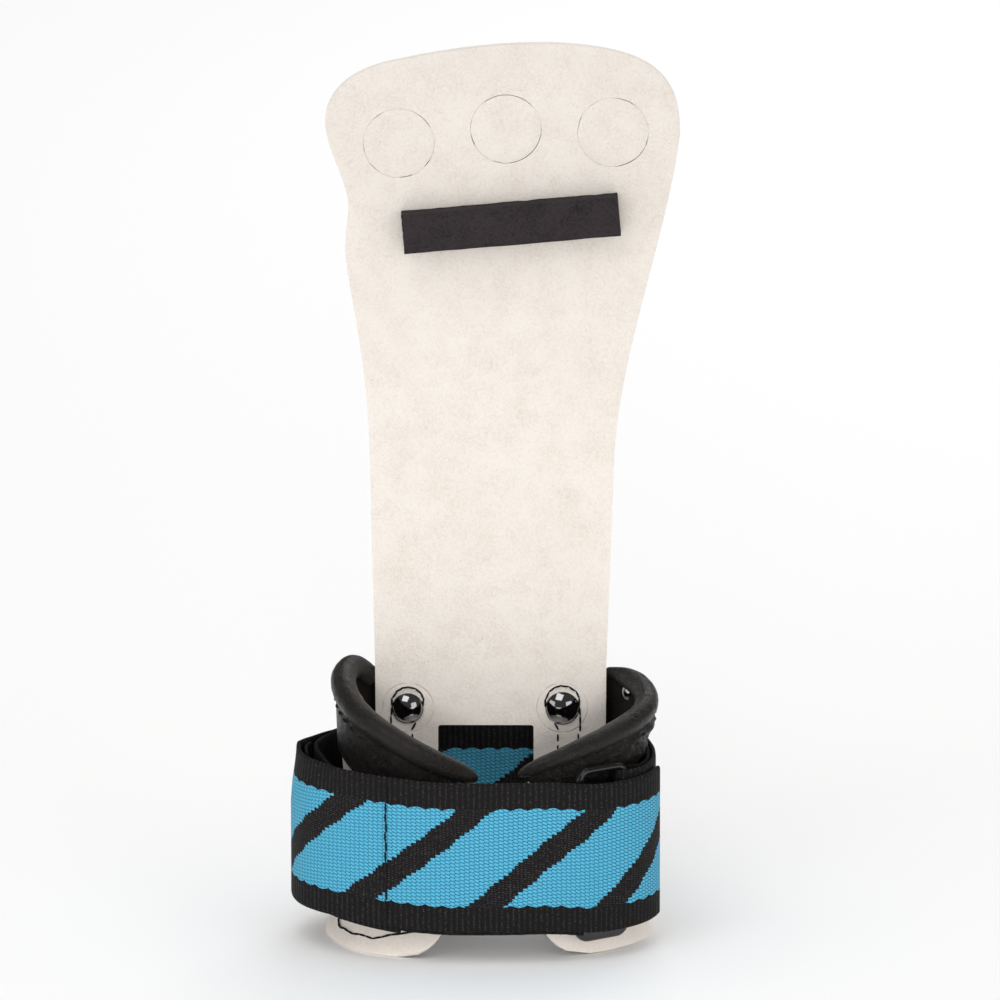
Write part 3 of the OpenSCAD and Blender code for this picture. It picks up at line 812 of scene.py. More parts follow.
class Wardrobe:
    """Every material of the grip, built once."""

    def __init__(self, effects: Effects) -> None:
        """Builds the materials."""
        self.palm = NapLeather("palm_leather", roughness=0.92, sheen=0.12, specular=0.2,
                               prints=((-20.1, 54.5, 6.65), (20.1, 54.5, 6.65))).build(effects)
        self.shell = NapLeather("shell_leather", roughness=0.9, sheen=0.1, specular=0.25, depth_mm=0.1,
                                light=(0.88, 0.81, 0.74), dark=(0.76, 0.68, 0.60), soil=0.12).build(effects)
        self.strip = NapLeather("strip_suede", roughness=0.95, sheen=0.03, specular=0.1, depth_mm=0.3,
                                light=(0.040, 0.0325, 0.0345), dark=(0.011, 0.009, 0.0095),
                                soiled=(0.07, 0.062, 0.062), soil=0.12).build(effects)
        self.roll = SmoothLeather("roll_leather", roughness=0.36, specular=0.42, depth_mm=0.24).build(effects)
        self.black = SmoothLeather("black_leather", roughness=0.36, specular=0.5, creases=560.0,
                                   depth_mm=0.8).build(effects)
        self.lining = SmoothLeather("lining_leather", roughness=0.7, specular=0.15,
                                    colour=(0.010, 0.0088, 0.008),
                                    worn=(0.022, 0.019, 0.017)).build(effects)
        self.strap = Webbing("woven_strap", roughness=0.6, specular=0.14).build(effects)
        self.tab = Webbing("woven_tab", roughness=0.6, specular=0.14, has_blocks=False,
                           rib=1.1).build(effects)
        self.hooks = Plain("hook_fabric", roughness=0.8, specular=0.1, colour=(0.006, 0.0055, 0.006),
                           second=(0.024, 0.0225, 0.023), scale=1500.0, depth_mm=0.35).build(effects)
        self.plastic = Plain("ring_plastic", roughness=0.16, specular=0.5, coat=0.3,
                             colour=(0.009, 0.008, 0.008),
                             second=(0.012, 0.011, 0.011), scale=300.0).build(effects)
        self.nickel = Plain("black_nickel", roughness=0.07, metallic=1.0, colour=(0.42, 0.405, 0.41),
                            second=(0.47, 0.455, 0.46), scale=500.0, depth_mm=0.004, vary=0.05).build(effects)
        self.steel = Plain("washer_steel", roughness=0.35, metallic=1.0, colour=(0.5, 0.5, 0.5),
                           second=(0.6, 0.6, 0.6), depth_mm=0.01).build(effects)
        self.wood = Plain("dowel_wood", roughness=0.6, colour=(0.42, 0.27, 0.14), second=(0.62, 0.45, 0.27),
                          scale=900.0, stretch=(0.06, 1.0, 1.0), depth_mm=0.06).build(effects)
        self.foam = Plain("foam", roughness=0.95, colour=(0.5, 0.48, 0.42), second=(0.62, 0.6, 0.55),
                          scale=2200.0, depth_mm=0.3).build(effects)
        self.thread = Plain("thread", roughness=0.6, specular=0.2, colour=(0.006, 0.005, 0.006),
                            second=(0.018, 0.016, 0.018), scale=3200.0, depth_mm=0.12).build(effects)


# ---------------------------------------------------------------- palm leather


@dataclass
class PalmLeather:
    """The long leather that covers the hand, with its two legs, in two skins that meet at a seam and three
    plugs.
    """

    leather_t: float = 2.2
    palm_y: float = 20.4
    top: float = 232.8
    head_right: float = 50.3
    head_left: float = 41.2
    waist_right: float = 33.2
    waist_left: float = 29.8
    leg_foot: float = 3.0
    notch_half: float = 12.4
    notch_x: float = 0.2
    notch_top: float = 49.9
    seam_z: float = 110.0
    wrist_z: float = 72.0
    curl_z: float = 148.0
    plug_r: float = 9.0
    hole_r: float = 9.2
    plugs: tuple[tuple[float, float], ...] = ((-22.2, 206.4), (5.4, 210.2), (33.0, 209.3))
    rivet_x: float = 20.1
    rivet_z: float = 54.5

    @property
    def back(self) -> float:
        """The depth of the bar side."""
        return self.palm_y + self.leather_t

    def outline(self) -> list[tuple[float, float]]:
        """The cut line in X and Z, from the right leg up and round to the left leg."""
        side, kink = self.top - 23.8, self.top - 43.3
        r, left, wl, wr = self.head_right, -self.head_left, self.waist_left, self.waist_right
        line = [(wr - 2.2, self.leg_foot), (wr - 1.7, 67.0)]
        line += bezier([(wr, 115), (wr, 148), (r - 3.8, kink - 11.5), (r, side)], 24)
        line += bezier([(r, side), (r, side + 16), (r - 7.8, self.top - 1), (17, self.top)], 24)
        line += bezier([(17, self.top), (5, self.top + 0.2), (-8, self.top - 1.2),
                        (-22.2, self.top - 4.4)], 14)
        line += bezier([(-22.2, self.top - 4.4), (left + 8.2, self.top - 6.3), (left + 0.2, self.top - 11.8),
                        (left, side + 3)], 20)
        line += bezier([(left, side + 3), (left, side - 4), (left + 6, kink + 6.5), (left + 6, kink)], 12)
        line += bezier([(left + 6, kink), (left + 6, kink - 3), (left + 5.1, kink - 7.5),
                        (left + 5.1, kink - 11)], 8)
        line += bezier([(left + 5.1, kink - 11), (left + 5.1, kink - 19.5), (-wl - 0.4, 150), (-wl, 122)], 16)
        line += [(-wl, 122), (-wl + 1.2, 67), (-wl + 1.8, self.leg_foot)]
        return line

    def sheet(self, low: float, high: float) -> bmesh.types.BMesh:
        """The part of the leather between two heights, on its hand side, cut into small faces."""
        bm = bmesh.new()
        verts = [bm.verts.new((x, self.palm_y, z)) for x, z in self.outline()]
        bmesh.ops.contextual_create(bm, geom=verts)
        for z, up in ((low, -1), (high, 1)):
            bmesh.ops.bisect_plane(bm, geom=bm.verts[:] + bm.edges[:] + bm.faces[:], dist=WELD,
                                   plane_co=(0, 0, z), plane_no=(0, 0, up), clear_outer=True)
        cuts = [((0, 0, z), (0, 0, 1)) for z in self._steps(max(low, self.leg_foot), min(high, self.top))]
        cuts += [((x, 0, 0), (1, 0, 0)) for x in self._range(-self.head_left, self.head_right, 2.6)]
        for co, no in cuts:
            bmesh.ops.bisect_plane(bm, geom=bm.verts[:] + bm.edges[:] + bm.faces[:], dist=WELD,
                                   plane_co=co, plane_no=no)
        for face in bm.faces:
            if face.normal.y > 0:
                face.normal_flip()
        return bm

    @staticmethod
    def _range(low: float, high: float, step: float) -> list[float]:
        """Evenly spaced numbers strictly between two ends."""
        count = max(1, round((high - low) / step))
        return [mix(low, high, i / count) for i in range(1, count)]

    def _steps(self, low: float, high: float) -> list[float]:
        """Heights of the cuts, closer together where the leather bends."""
        found, z = [], low + 1.3
        while z < high - 0.6:
            found.append(z)
            z += 1.1 if min(abs(z - self.wrist_z), abs(z - self.curl_z)) < 12 else 2.6
        return found

    def relief(self, p: Vector) -> float:
        """How far the leather swells towards the hand at a point, in millimetres."""
        swell = 0.16 * ripple(p, 46, 3.1) + 0.07 * ripple(p, 15, 8.4)
        for side in (-1, 1):
            d = math.hypot(p.x - side * self.rivet_x, p.z - self.rivet_z)
            swell += 0.22 * math.exp(-((d - 6.2) / 1.0) ** 2) * (0 if d < 4.6 else 1)
            swell -= 0.2 * math.exp(-((d - 4.6) / 1.1) ** 2)
        return swell

    def soften(self, bm: bmesh.types.BMesh) -> None:
        """Moves the hand side and a little of the edge, away from the plane seam."""
        for v in bm.verts:
            near = ease(abs(v.co.z - self.seam_z) / 3)
            if v.co.y < self.palm_y + 0.5:
                v.co.y -= self.relief(v.co) * near

    def skin(self, low: float, high: float) -> bmesh.types.BMesh:
        """A closed skin between two heights."""
        bm = self.sheet(low, high)
        plate(bm, self.leather_t, 0.28, keep=lambda p: abs(p.z - self.seam_z) < 0.01)
        self.soften(bm)
        return bm

    def plug(self, index: int) -> bmesh.types.BMesh:
        """One of the three discs, with a cut line that all but closes in places."""
        x, z = self.plugs[index]
        bm = bmesh.new()
        bmesh.ops.create_circle(bm, cap_ends=True, segments=72, radius=self.plug_r)
        for face in bm.faces[:]:
            bmesh.ops.inset_individual(bm, faces=[face], thickness=2.6, use_even_offset=True)
        for v in bm.verts:
            a = math.atan2(v.co.y, v.co.x)
            open_share = 3.4 * noise.noise(Vector((math.cos(a) * 2.1, math.sin(a) * 2.1, index * 5.3)))
            close = 0.19 * ease((0.8 if index == 1 else 1.05) + open_share)
            stretch = 1 + close / self.plug_r
            v.co = Vector((x + v.co.x * stretch, self.palm_y, z + v.co.y * stretch))
        bmesh.ops.recalc_face_normals(bm, faces=bm.faces[:])
        for face in bm.faces:
            if face.normal.y > 0:
                face.normal_flip()
        plate(bm, self.leather_t, 0.14)
        middle = Vector((x, self.palm_y, z))
        lift = self.relief(middle) - 0.03
        for v in bm.verts:
            if v.co.y < self.palm_y + 0.5:
                v.co.y -= lift
        return bm

    def build(self, wardrobe: Wardrobe) -> None:
        """Builds the two skins and the plugs."""
        lower = piece(self.skin(0, self.seam_z), "palm_lower_leather", wardrobe.palm, None,
                      ("palm_base", "palm_panel"))
        drill(lower, [(side * self.rivet_x, self.rivet_z, 1.75) for side in (-1, 1)],
              self.palm_y - 2, self.back + 2,
              (self.notch_x - self.notch_half, self.notch_x + self.notch_half, self.notch_top))
        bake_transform(lower)
        upper = piece(self.skin(self.seam_z, self.top + 1), "palm_upper_leather", wardrobe.palm, None,
                      ("palm_panel", "finger_panel"))
        drill(upper, [(x, z, self.hole_r) for x, z in self.plugs], self.palm_y - 2, self.back + 2)
        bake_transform(upper)
        for index, word in enumerate(("left", "middle", "right")):
            piece(self.plug(index), f"{word}_finger_plug", wardrobe.palm, f"{word}_plug",
                  (f"plug_{word}",))


# ---------------------------------------------------------------- dowel and its strip


@dataclass
class Dowel:
    """The wooden dowel in its folded suede strip, sewn to the hand side."""

    centre: Vector = field(default_factory=lambda: Vector((6.7, 20.4, 185.8)))
    turn_deg: float = 5.0
    length: float = 56.0
    width: float = 10.4
    ply: float = 0.9
    dowel_l: float = 52.0
    dowel_d: float = 3.8
    gap: float = 0.15

    def lay(self, x: float, y: float, z: float) -> Vector:
        """A point given along, in front of and across the strip."""
        a = math.radians(self.turn_deg)
        return self.centre + Vector((x * math.cos(a) - z * math.sin(a), y, x * math.sin(a) + z * math.cos(a)))

    def cover(self) -> bmesh.types.BMesh:
        """The outer ply, folded round the dowel, its lower edge open."""
        half, front, low = self.width / 2, -(2 * self.gap + 2 * self.ply + self.dowel_d + self.gap), -1.25
        line = [(low, half - 0.1), (front + 1.1, half), (front + 0.5, half - 0.12),
                (front + 0.12, half - 0.5),
                (front, half - 1.1), (front - 0.05, 2.0), (front, 0.0), (front + 0.03, -2.0),
                (front, -half + 1.0), (front + 0.12, -half + 0.45), (front + 0.5, -half + 0.1),
                (front + 1.1, -half), (front + 2.2, -half + 0.15)]
        smooth: list[tuple[float, float]] = []
        for i, (a, b) in enumerate(zip(line, line[1:])):
            parts = 6 if math.dist(a, b) > 1.4 else 2
            smooth += [(mix(a[0], b[0], k / parts), mix(a[1], b[1], k / parts)) for k in range(parts)]
        smooth.append(line[-1])
        last = len(smooth) - 1

        def place(u: float, v: float) -> Vector:
            y, z = smooth[min(last, round(v * last))]
            x = mix(-self.length / 2, self.length / 2, u)
            p = self.lay(x, y, z)
            wave = 0.16 * ripple(p, 9, 2.0) + 0.07 * ripple(p, 3, 6.0)
            edge = 0.13 * ripple(Vector((0, y, z)), 1.2, x) if u in (0.0, 1.0) else 0.0
            return self.lay(x + edge, y + wave * (1 if y < front + 1 else 0.2), z + 0.1 * ripple(p, 6, 9.0))

        bm = grid(96, last, place)
        bmesh.ops.recalc_face_normals(bm, faces=bm.faces[:])
        bm.normal_update()
        middle = min(bm.faces, key=lambda f: (f.calc_center_median() - self.lay(0, front, 0)).length)
        if middle.normal.y > 0:
            bmesh.ops.reverse_faces(bm, faces=bm.faces[:])
        return plate(bm, self.ply, 0.18, 1)

    def base(self) -> bmesh.types.BMesh:
        """The inner ply against the palm leather, whose lower edge shows under the fold."""
        half = self.width / 2

        def place(u: float, v: float) -> Vector:
            x, z = mix(-self.length / 2, self.length / 2, u), mix(-half - 0.35, half - 0.1, v)
            p = self.lay(x, -self.gap - self.ply, z)
            edge = 0.18 * ripple(p, 2.5, 4.0) if v in (0.0, 1.0) else 0.0
            return self.lay(x, -self.gap - self.ply + 0.04 * ripple(p, 7), z + edge)

        bm = grid(96, 12, place)
        bm.normal_update()
        if bm.faces[0].normal.y > 0:
            bmesh.ops.reverse_faces(bm, faces=bm.faces[:])
        return plate(bm, self.ply, 0.18, 1)

    def rod(self) -> bmesh.types.BMesh:
        """The dowel, with chamfered ends."""
        r, half = self.dowel_d / 2, self.dowel_l / 2
        start = self.lay(0, -(2 * self.gap + self.ply + r), 0)
        axis = self.lay(1, 0, 0) - self.lay(0, 0, 0)
        profile = [(0, -half), (r - 0.5, -half), (r - 0.35, -half + 0.06), (r, -half + 0.45)]
        profile += [(r * (1 + 0.006 * math.sin(i * 1.7)),
                     mix(-half + 0.5, half - 0.5, i / 14)) for i in range(1, 14)]
        profile += [(r, half - 0.45), (r - 0.35, half - 0.06), (r - 0.5, half), (0, half)]
        return turned(profile, start, axis, 36)

    def build(self, wardrobe: Wardrobe) -> None:
        """Builds the dowel, the cover and the base."""
        piece(self.rod(), "wooden_dowel", wardrobe.wood, "fingers", ("dowel",))
        piece(self.cover(), "strip_cover", wardrobe.strip, "fingers", ("dowel_cover",))
        piece(self.base(), "strip_base", wardrobe.strip, "fingers", ("dowel_base",))


# ---------------------------------------------------------------- wristband wings


@dataclass
class Wing:
    """One wing of the wristband: shell, lining, folded binding and padded roll.

    Where a field is a pair, its first value is the left wing's and its second the right wing's. The bulges
    and the slumps are how far the padded rim leans out and sinks, the flares how far the lobes splay.
    """

    side: Side
    loop: PlanLoop = PlanLoop(1.7, 2.35, 38.2, 29.0, 23.7, 2.0)
    shell_t: float = 1.3
    lining_t: float = 1.1
    gap: float = 0.15
    flap_t: float = 0.8
    flap_hs: tuple[float, float] = (15.6, 13.0)
    roll_r: float = 3.3
    roll_z: float = 50.3
    rise_out: float = 0.353
    rise_back: float = 0.217
    back_top: float = 63.0
    back_half: float = 12.8
    notch_x: float = 0.2
    ends: tuple[float, float] = (-3.4, 10.3)
    foot_slopes: tuple[float, float] = (6.2, 3.6)
    lobe_r: float = 12.0
    near_lobe: float = 13.0
    lobe_stitch_count: int = 14
    roll_sides_x: tuple[float, float] = (-29.7, 31.5)
    flares: tuple[float, float] = (5.4, 3.2)
    flare_h: float = 8.2
    bulges: tuple[float, float] = (2.3, 3.5)
    bulge_reaches: tuple[tuple[float, float], tuple[float, float]] = ((24, 16), (15, 13))
    slumps: tuple[float, float] = (4.6, 3.5)
    end_reach: float = 1.6

    @property
    def sign(self) -> int:
        """-1 at the left and 1 at the right."""
        return self.side.value

    @property
    def end_x(self) -> float:
        """Where the wing ends at the front."""
        return self.ends[0] if self.sign < 0 else self.ends[1]

    @property
    def flare(self) -> float:
        """How far the shell's foot splays."""
        return self.flares[0 if self.sign < 0 else 1]

    def plane_z(self, p: Vector) -> float:
        """The height of the roll's middle over a point in plan."""
        return self.roll_z + self.rise_out * self.sign * (p.x - self.loop.cx) + self.rise_back * p.y

    def angle(self, share: float, end_x: float, start: float | None = None) -> float:
        """The angle a share of the way from the back end to the front edge at end_x."""
        back = self.loop.back_angle(self.notch_x + self.sign * self.back_half) if start is None else start
        front = self.loop.front_angle(end_x) - (360 if self.sign > 0 else 0)
        return mix(back, front, share)

    def edge_x(self, z: float) -> float:
        """The x of the front edge at a height, with the rounded lobe at its foot."""
        slope = self.foot_slopes[0 if self.sign < 0 else 1]
        s, foot = -self.sign, self.end_x + self.sign * slope
        if z < self.lobe_r:
            return foot - s * (self.lobe_r - math.sqrt(max(0.0, self.lobe_r ** 2 - (self.lobe_r - z) ** 2)))
        return foot + s * slope * min(1.0, (z - self.lobe_r) / (self.roll_z - self.lobe_r))

    def bulge(self, u: float) -> float:
        """How far the padded rim leans outwards at the angle u, most beside the corner of the hand."""
        if self.sign < 0:
            return self.bulges[0] * ease(1 - abs(u % 360 - 154) / 42)
        return self.bulges[1] * ease(1 - abs(u - 12) / 48)

    def slump(self, u: float) -> float:
        """How much lower the rim lies: all along the right, and where the left roll starts."""
        if self.sign > 0:
            return self.slumps[1] * ease((u + 75) / 65)
        return self.slumps[0] * ease((146 - u) / 32)

    def tuck(self, u: float) -> float:
        """How far the layers reach up into the roll at the angle u, from 0 to 1."""
        if self.sign > 0:
            return ease((u + 45) / 40)
        return max(self.bulge(u) / self.bulges[0], ease((150 - u) / 20))

    def hang(self, share: float) -> float:
        """How far below the roll's middle its lower side is, a share of the way along it."""
        return self.girth(share) * math.hypot(self.rise_out, self.rise_back, 1) + 2 * self.gap

    def girth(self, share: float) -> float:
        """The roll's radius a share of the way along it; the right one starts thin and ends slim."""
        if self.sign < 0:
            return self.roll_r * (1 - 0.12 * ease((share - 0.8) / 0.2))
        return self.roll_r * (0.5
                              + 0.42 * ease((share - 0.04) / 0.26)) * (1 - 0.26 * ease((share - 0.72) / 0.28))

    def layer(self, outer: float, thickness: float, foot: float, rim: float) -> bmesh.types.BMesh:
        """A layer of the wing, whose outer face is at the offset outer."""
        loop = self.loop

        def place(a: float, t: float) -> Vector:
            share = 1 - (1 - a) ** 1.25
            nominal = self.angle(share, self.end_x)
            p = loop.point(nominal)
            v = nominal % 360
            rim_z = self.plane_z(p) - self.slump(nominal)
            start, end = self.roll_span()
            along = max(0.0, min(1.0, (nominal - start) / (end - start)))
            top = rim_z - mix(self.hang(along), 0.9, self.tuck(nominal))
            if 79 < v < 101:
                top = mix(top, self.back_top, ease((11 - abs(v - 90)) / 1.2))
            z = mix(foot, top, t)
            u = self.angle(share, self.edge_x(z))
            below, rise = self.bulge_reaches[0 if self.sign < 0 else 1]
            q = loop.point(u, outer + self.bulge(u) * ease((z - top + below) / rise))
            low = max(0.0, (self.flare_h - z) / self.flare_h)
            wave = self.flare * (low ** 1.3) * ease((share - 0.12) / 0.25) * (
                1 + 0.25 * ripple(Vector((q.x, q.y, 0)), 11, 5.0))
            q += loop.outward(u) * wave
            return Vector((q.x, q.y, z))

        bm = grid(110, 36, place)
        self.face_out(bm)
        return plate(bm, thickness, rim)

    def face_out(self, bm: bmesh.types.BMesh) -> None:
        """Turns the faces of an open layer away from the wrist."""
        bm.normal_update()
        face = min(bm.faces, key=lambda f: abs(f.calc_center_median().y))
        if face.normal.x * self.sign < 0:
            bmesh.ops.reverse_faces(bm, faces=bm.faces[:])
        bm.normal_update()

    def roll_span(self) -> tuple[float, float]:
        """The angles where the roll starts, beside the palm leather, and ends."""
        middle = -(self.shell_t + self.gap + self.lining_t) / 2
        x = self.roll_sides_x[0 if self.sign < 0 else 1]
        a = math.degrees(math.acos((abs(x - self.loop.cx) - self.loop.half_flat)
                                   / (self.loop.half_width - self.loop.half_flat + middle))) * 8 / 9
        start = 180 - a if self.sign < 0 else a
        end = self.loop.front_angle(self.end_x - self.end_reach * self.sign)
        return start, end - (360 if self.sign > 0 else 0)

    def roll_point(self, share: float) -> Vector:
        """The middle of the roll a share of the way along it."""
        middle = -(self.shell_t + self.gap + self.lining_t) / 2
        u = mix(*self.roll_span(), share)
        p = self.loop.point(u, middle + self.bulge(u))
        return Vector((p.x, p.y, self.plane_z(self.loop.point(u, middle)) - self.slump(u)))

    def roll_frame(self, share: float) -> tuple[Vector, Vector, Vector]:
        """The roll's direction, the side away from the wrist and the upward side."""
        along = (self.roll_point(min(1.0, share + 0.01)) - self.roll_point(max(0.0,
                                                                               share - 0.01))).normalized()
        out = along.cross(Vector((0, 0, 1))).normalized()
        if out.dot(self.roll_point(share) - Vector((self.loop.cx, self.loop.cy,
                                                    self.roll_point(share).z))) < 0:
            out = -out
        up = along.cross(out).normalized()
        return along, out, up if up.z > 0 else -up

    def roll(self) -> bmesh.types.BMesh:
        """The padded roll: full on top, gathered by the seam along its lower outer side."""
        stitches = 19

        def place(u: float, v: float) -> Vector:
            _, out, up = self.roll_frame(u)
            centre = self.roll_point(u)
            a = v * math.tau
            end = min(u, 1 - u)
            close = math.sqrt(max(0.0, 1 - (1 - min(1.0, end / (0.035 if u < 0.5 else 0.075))) ** 2))
            seam = math.exp(-(((a - math.radians(292)) / 0.34) ** 2))
            pucker = 0.5 + 0.5 * math.cos(u * stitches * math.tau)
            r = self.girth(u) * (1 - seam * (0.05 + 0.1 * pucker))
            probe = centre + out * r * math.cos(a) + up * r * math.sin(a)
            r *= 1 + 0.034 * ripple(probe, 7, 3.0) + 0.02 * ripple(probe, 2.2, 9.0)
            crease = noise.noise(Vector((u * 74, math.sin(a) * 0.9, math.cos(a) * 0.9)))
            r -= 0.13 * max(0.0, crease) * ease(math.cos(a - math.radians(325)) * 1.4)
            flat = 0.93 if math.sin(a) > 0 else 1.0
            return centre + (out * math.cos(a) + up * math.sin(a) * flat) * r * max(close, 0.02)

        return tube(300, 40, place)

    def core(self) -> bmesh.types.BMesh:
        """The foam cord inside the roll."""

        def place(u: float, v: float) -> Vector:
            share = mix(0.03, 0.95, u)
            _, out, up = self.roll_frame(share)
            r = (self.girth(share) - 0.95) * max(0.02,
                                                 math.sqrt(max(0.0,
                                                               1 - (1 - min(1.0,
                                                                            min(u, 1 - u) / 0.03)) ** 2)))
            r *= 1 + 0.03 * ripple(self.roll_point(share) + out * math.cos(v * math.tau), 3, 5.0)
            return self.roll_point(share) + (out * math.cos(v * math.tau) + up * math.sin(v * math.tau)) * r

        return tube(90, 20, place)

    def binding(self) -> bmesh.types.BMesh:
        """The black flap that hangs from the roll, crumpled and puckered along its seam."""
        start = self.roll_span()[0]

        def place(a: float, t: float) -> Vector:
            u = self.angle(a, self.edge_x(40), start)
            p = self.loop.point(u)
            rim_z = self.plane_z(p) - self.slump(u)
            z = mix(rim_z - self.flap_hs[0 if self.sign < 0 else 1], rim_z - self.hang(a) + 1.6, t)
            pucker = 0.5 + 0.5 * math.cos(a * 19 * math.tau)
            probe = Vector((p.x, p.y, z))
            front = u % 360
            room = ease((front - 205) / 14) if self.sign < 0 else ease(((front - 180) - 100) / 20)
            fold = (1.0 * abs(ripple(probe, 4.2, 1.0)) + 0.75 * ripple(probe, 1.7, 7.0) + 0.3) * room
            ease_top = ease((1 - t) * 5)
            lift = self.gap + self.flap_t + max(0.0, fold) * ease_top - 0.22 * pucker * ease((t - 0.55) * 3)
            hem = 0.35 * ripple(probe, 5, 4.0) * (1 - t)
            lean = mix(0.7, 1.0, t) if self.sign < 0 else ease(t * 1.2 - 0.1)
            q = self.loop.point(u, max(self.gap + 0.3, lift) + self.bulge(u) * lean)
            return Vector((q.x, q.y, z + hem))

        bm = grid(200, 22, place)
        self.face_out(bm)
        return plate(bm, self.flap_t * 0.7, 0.16, 1)

    def roll_stitches(self, thread: float) -> bmesh.types.BMesh:
        """The seam under the roll."""
        bm = bmesh.new()
        first, last = self.roll_span()
        for i in range(18):
            u = mix(first - self.sign * 3, last + self.sign * 3, (i + 0.5) / 18)
            off = self.gap + self.flap_t - 0.1
            p, q = self.loop.point(u, off + self.bulge(u)), self.loop.point(u + 1, off + self.bulge(u + 1))
            drop = self.roll_r * math.hypot(self.rise_out, self.rise_back, 1) + 0.75
            a = Vector((p.x, p.y, self.plane_z(self.loop.point(u)) - drop - self.slump(u)))
            b = Vector((q.x, q.y, self.plane_z(self.loop.point(u + 1)) - drop - self.slump(u + 1)))
            add_stitch(bm, a, b - a, self.loop.outward(u), 2.2, thread)
        return bm

    def lobe_stitches(self, thread: float) -> bmesh.types.BMesh:
        """The row above the shell's lower edge."""
        bm = bmesh.new()
        end = self.loop.front_angle(self.end_x + self.near_lobe * self.sign) - (360 if self.sign > 0 else 0)
        start = 186 if self.sign < 0 else -8
        count = self.lobe_stitch_count

        def row(i: int) -> Vector:
            """The hole between two stitches."""
            w = i / count
            z = 3.0 + 1.9 * (1 - ease(w / 0.25)) + 3.0 * ease((w - 0.6) / 0.4) + 0.2 * math.sin(i * 1.9)
            z = min(z + (3.0 if self.sign > 0 else 0.0), 8.0)
            p = self.loop.point(mix(start, end, w),
                                self.flare * ((self.flare_h - z) / self.flare_h) ** 1.3 + 0.05)
            return Vector((p.x, p.y, z))

        for i in range(count):
            a, b = row(i), row(i + 1)
            out = self.loop.outward(mix(start, end, (i + 0.5) / count)) + Vector((0, 0, 0.5))
            add_stitch(bm, (a + b) / 2, b - a, out, (b - a).length + 0.8, thread)
        return bm

    def side_cap(self) -> bmesh.types.BMesh:
        """The small domed rivet on the lining, under the roll."""
        u, z = 40.0, 59.5
        out = self.loop.outward(u)
        p = self.loop.point(u, self.bulge(u) - self.shell_t - self.gap - self.lining_t + 0.25)
        profile = [(0.0, 1.15), (0.8, 1.08), (1.5, 0.86), (2.05, 0.5), (2.4, 0.1), (2.5, 0.0), (2.4, -0.1),
                   (1.2, -0.15), (1.2, -0.6), (0.0, -0.6)]
        return turned(profile, Vector((p.x, p.y, z)), -out, 48)

    def build(self, wardrobe: Wardrobe, thread: float) -> None:
        """Builds the wing's pieces."""
        w = self.side.word
        if self.side is Side.RIGHT:
            piece(self.side_cap(), "lining_rivet", wardrobe.nickel, "wristband", ("side_rivet",),
                  50)
        piece(self.layer(0.0, self.shell_t, 0.0, 0.3), f"wing_shell_leather_{w}", wardrobe.shell, "wristband",
              (f"wing_shell_{w}",))
        piece(self.layer(-self.shell_t - self.gap, self.lining_t, 0.5, 0.2), f"wing_lining_leather_{w}",
              wardrobe.lining, "wristband", (f"wing_lining_{w}",))
        piece(self.binding(), f"binding_flap_{w}", wardrobe.black, "wristband",
              (f"wing_binding_{w}",))
        roll = piece(self.roll(), f"padded_roll_{w}", wardrobe.roll, "wristband",
                     (f"wing_roll_{w}",))
        piece(self.core(), f"roll_foam_core_{w}", wardrobe.foam, "wristband", (f"roll_core_{w}",))
        piece(self.roll_stitches(thread), f"roll_seam_{w}", wardrobe.thread, "wristband",
              (f"stitches_roll_{w}",))
        piece(self.lobe_stitches(thread), f"lobe_seam_{w}", wardrobe.thread, "wristband",
              (f"stitches_lobe_{w}",))


# ---------------------------------------------------------------- rivets


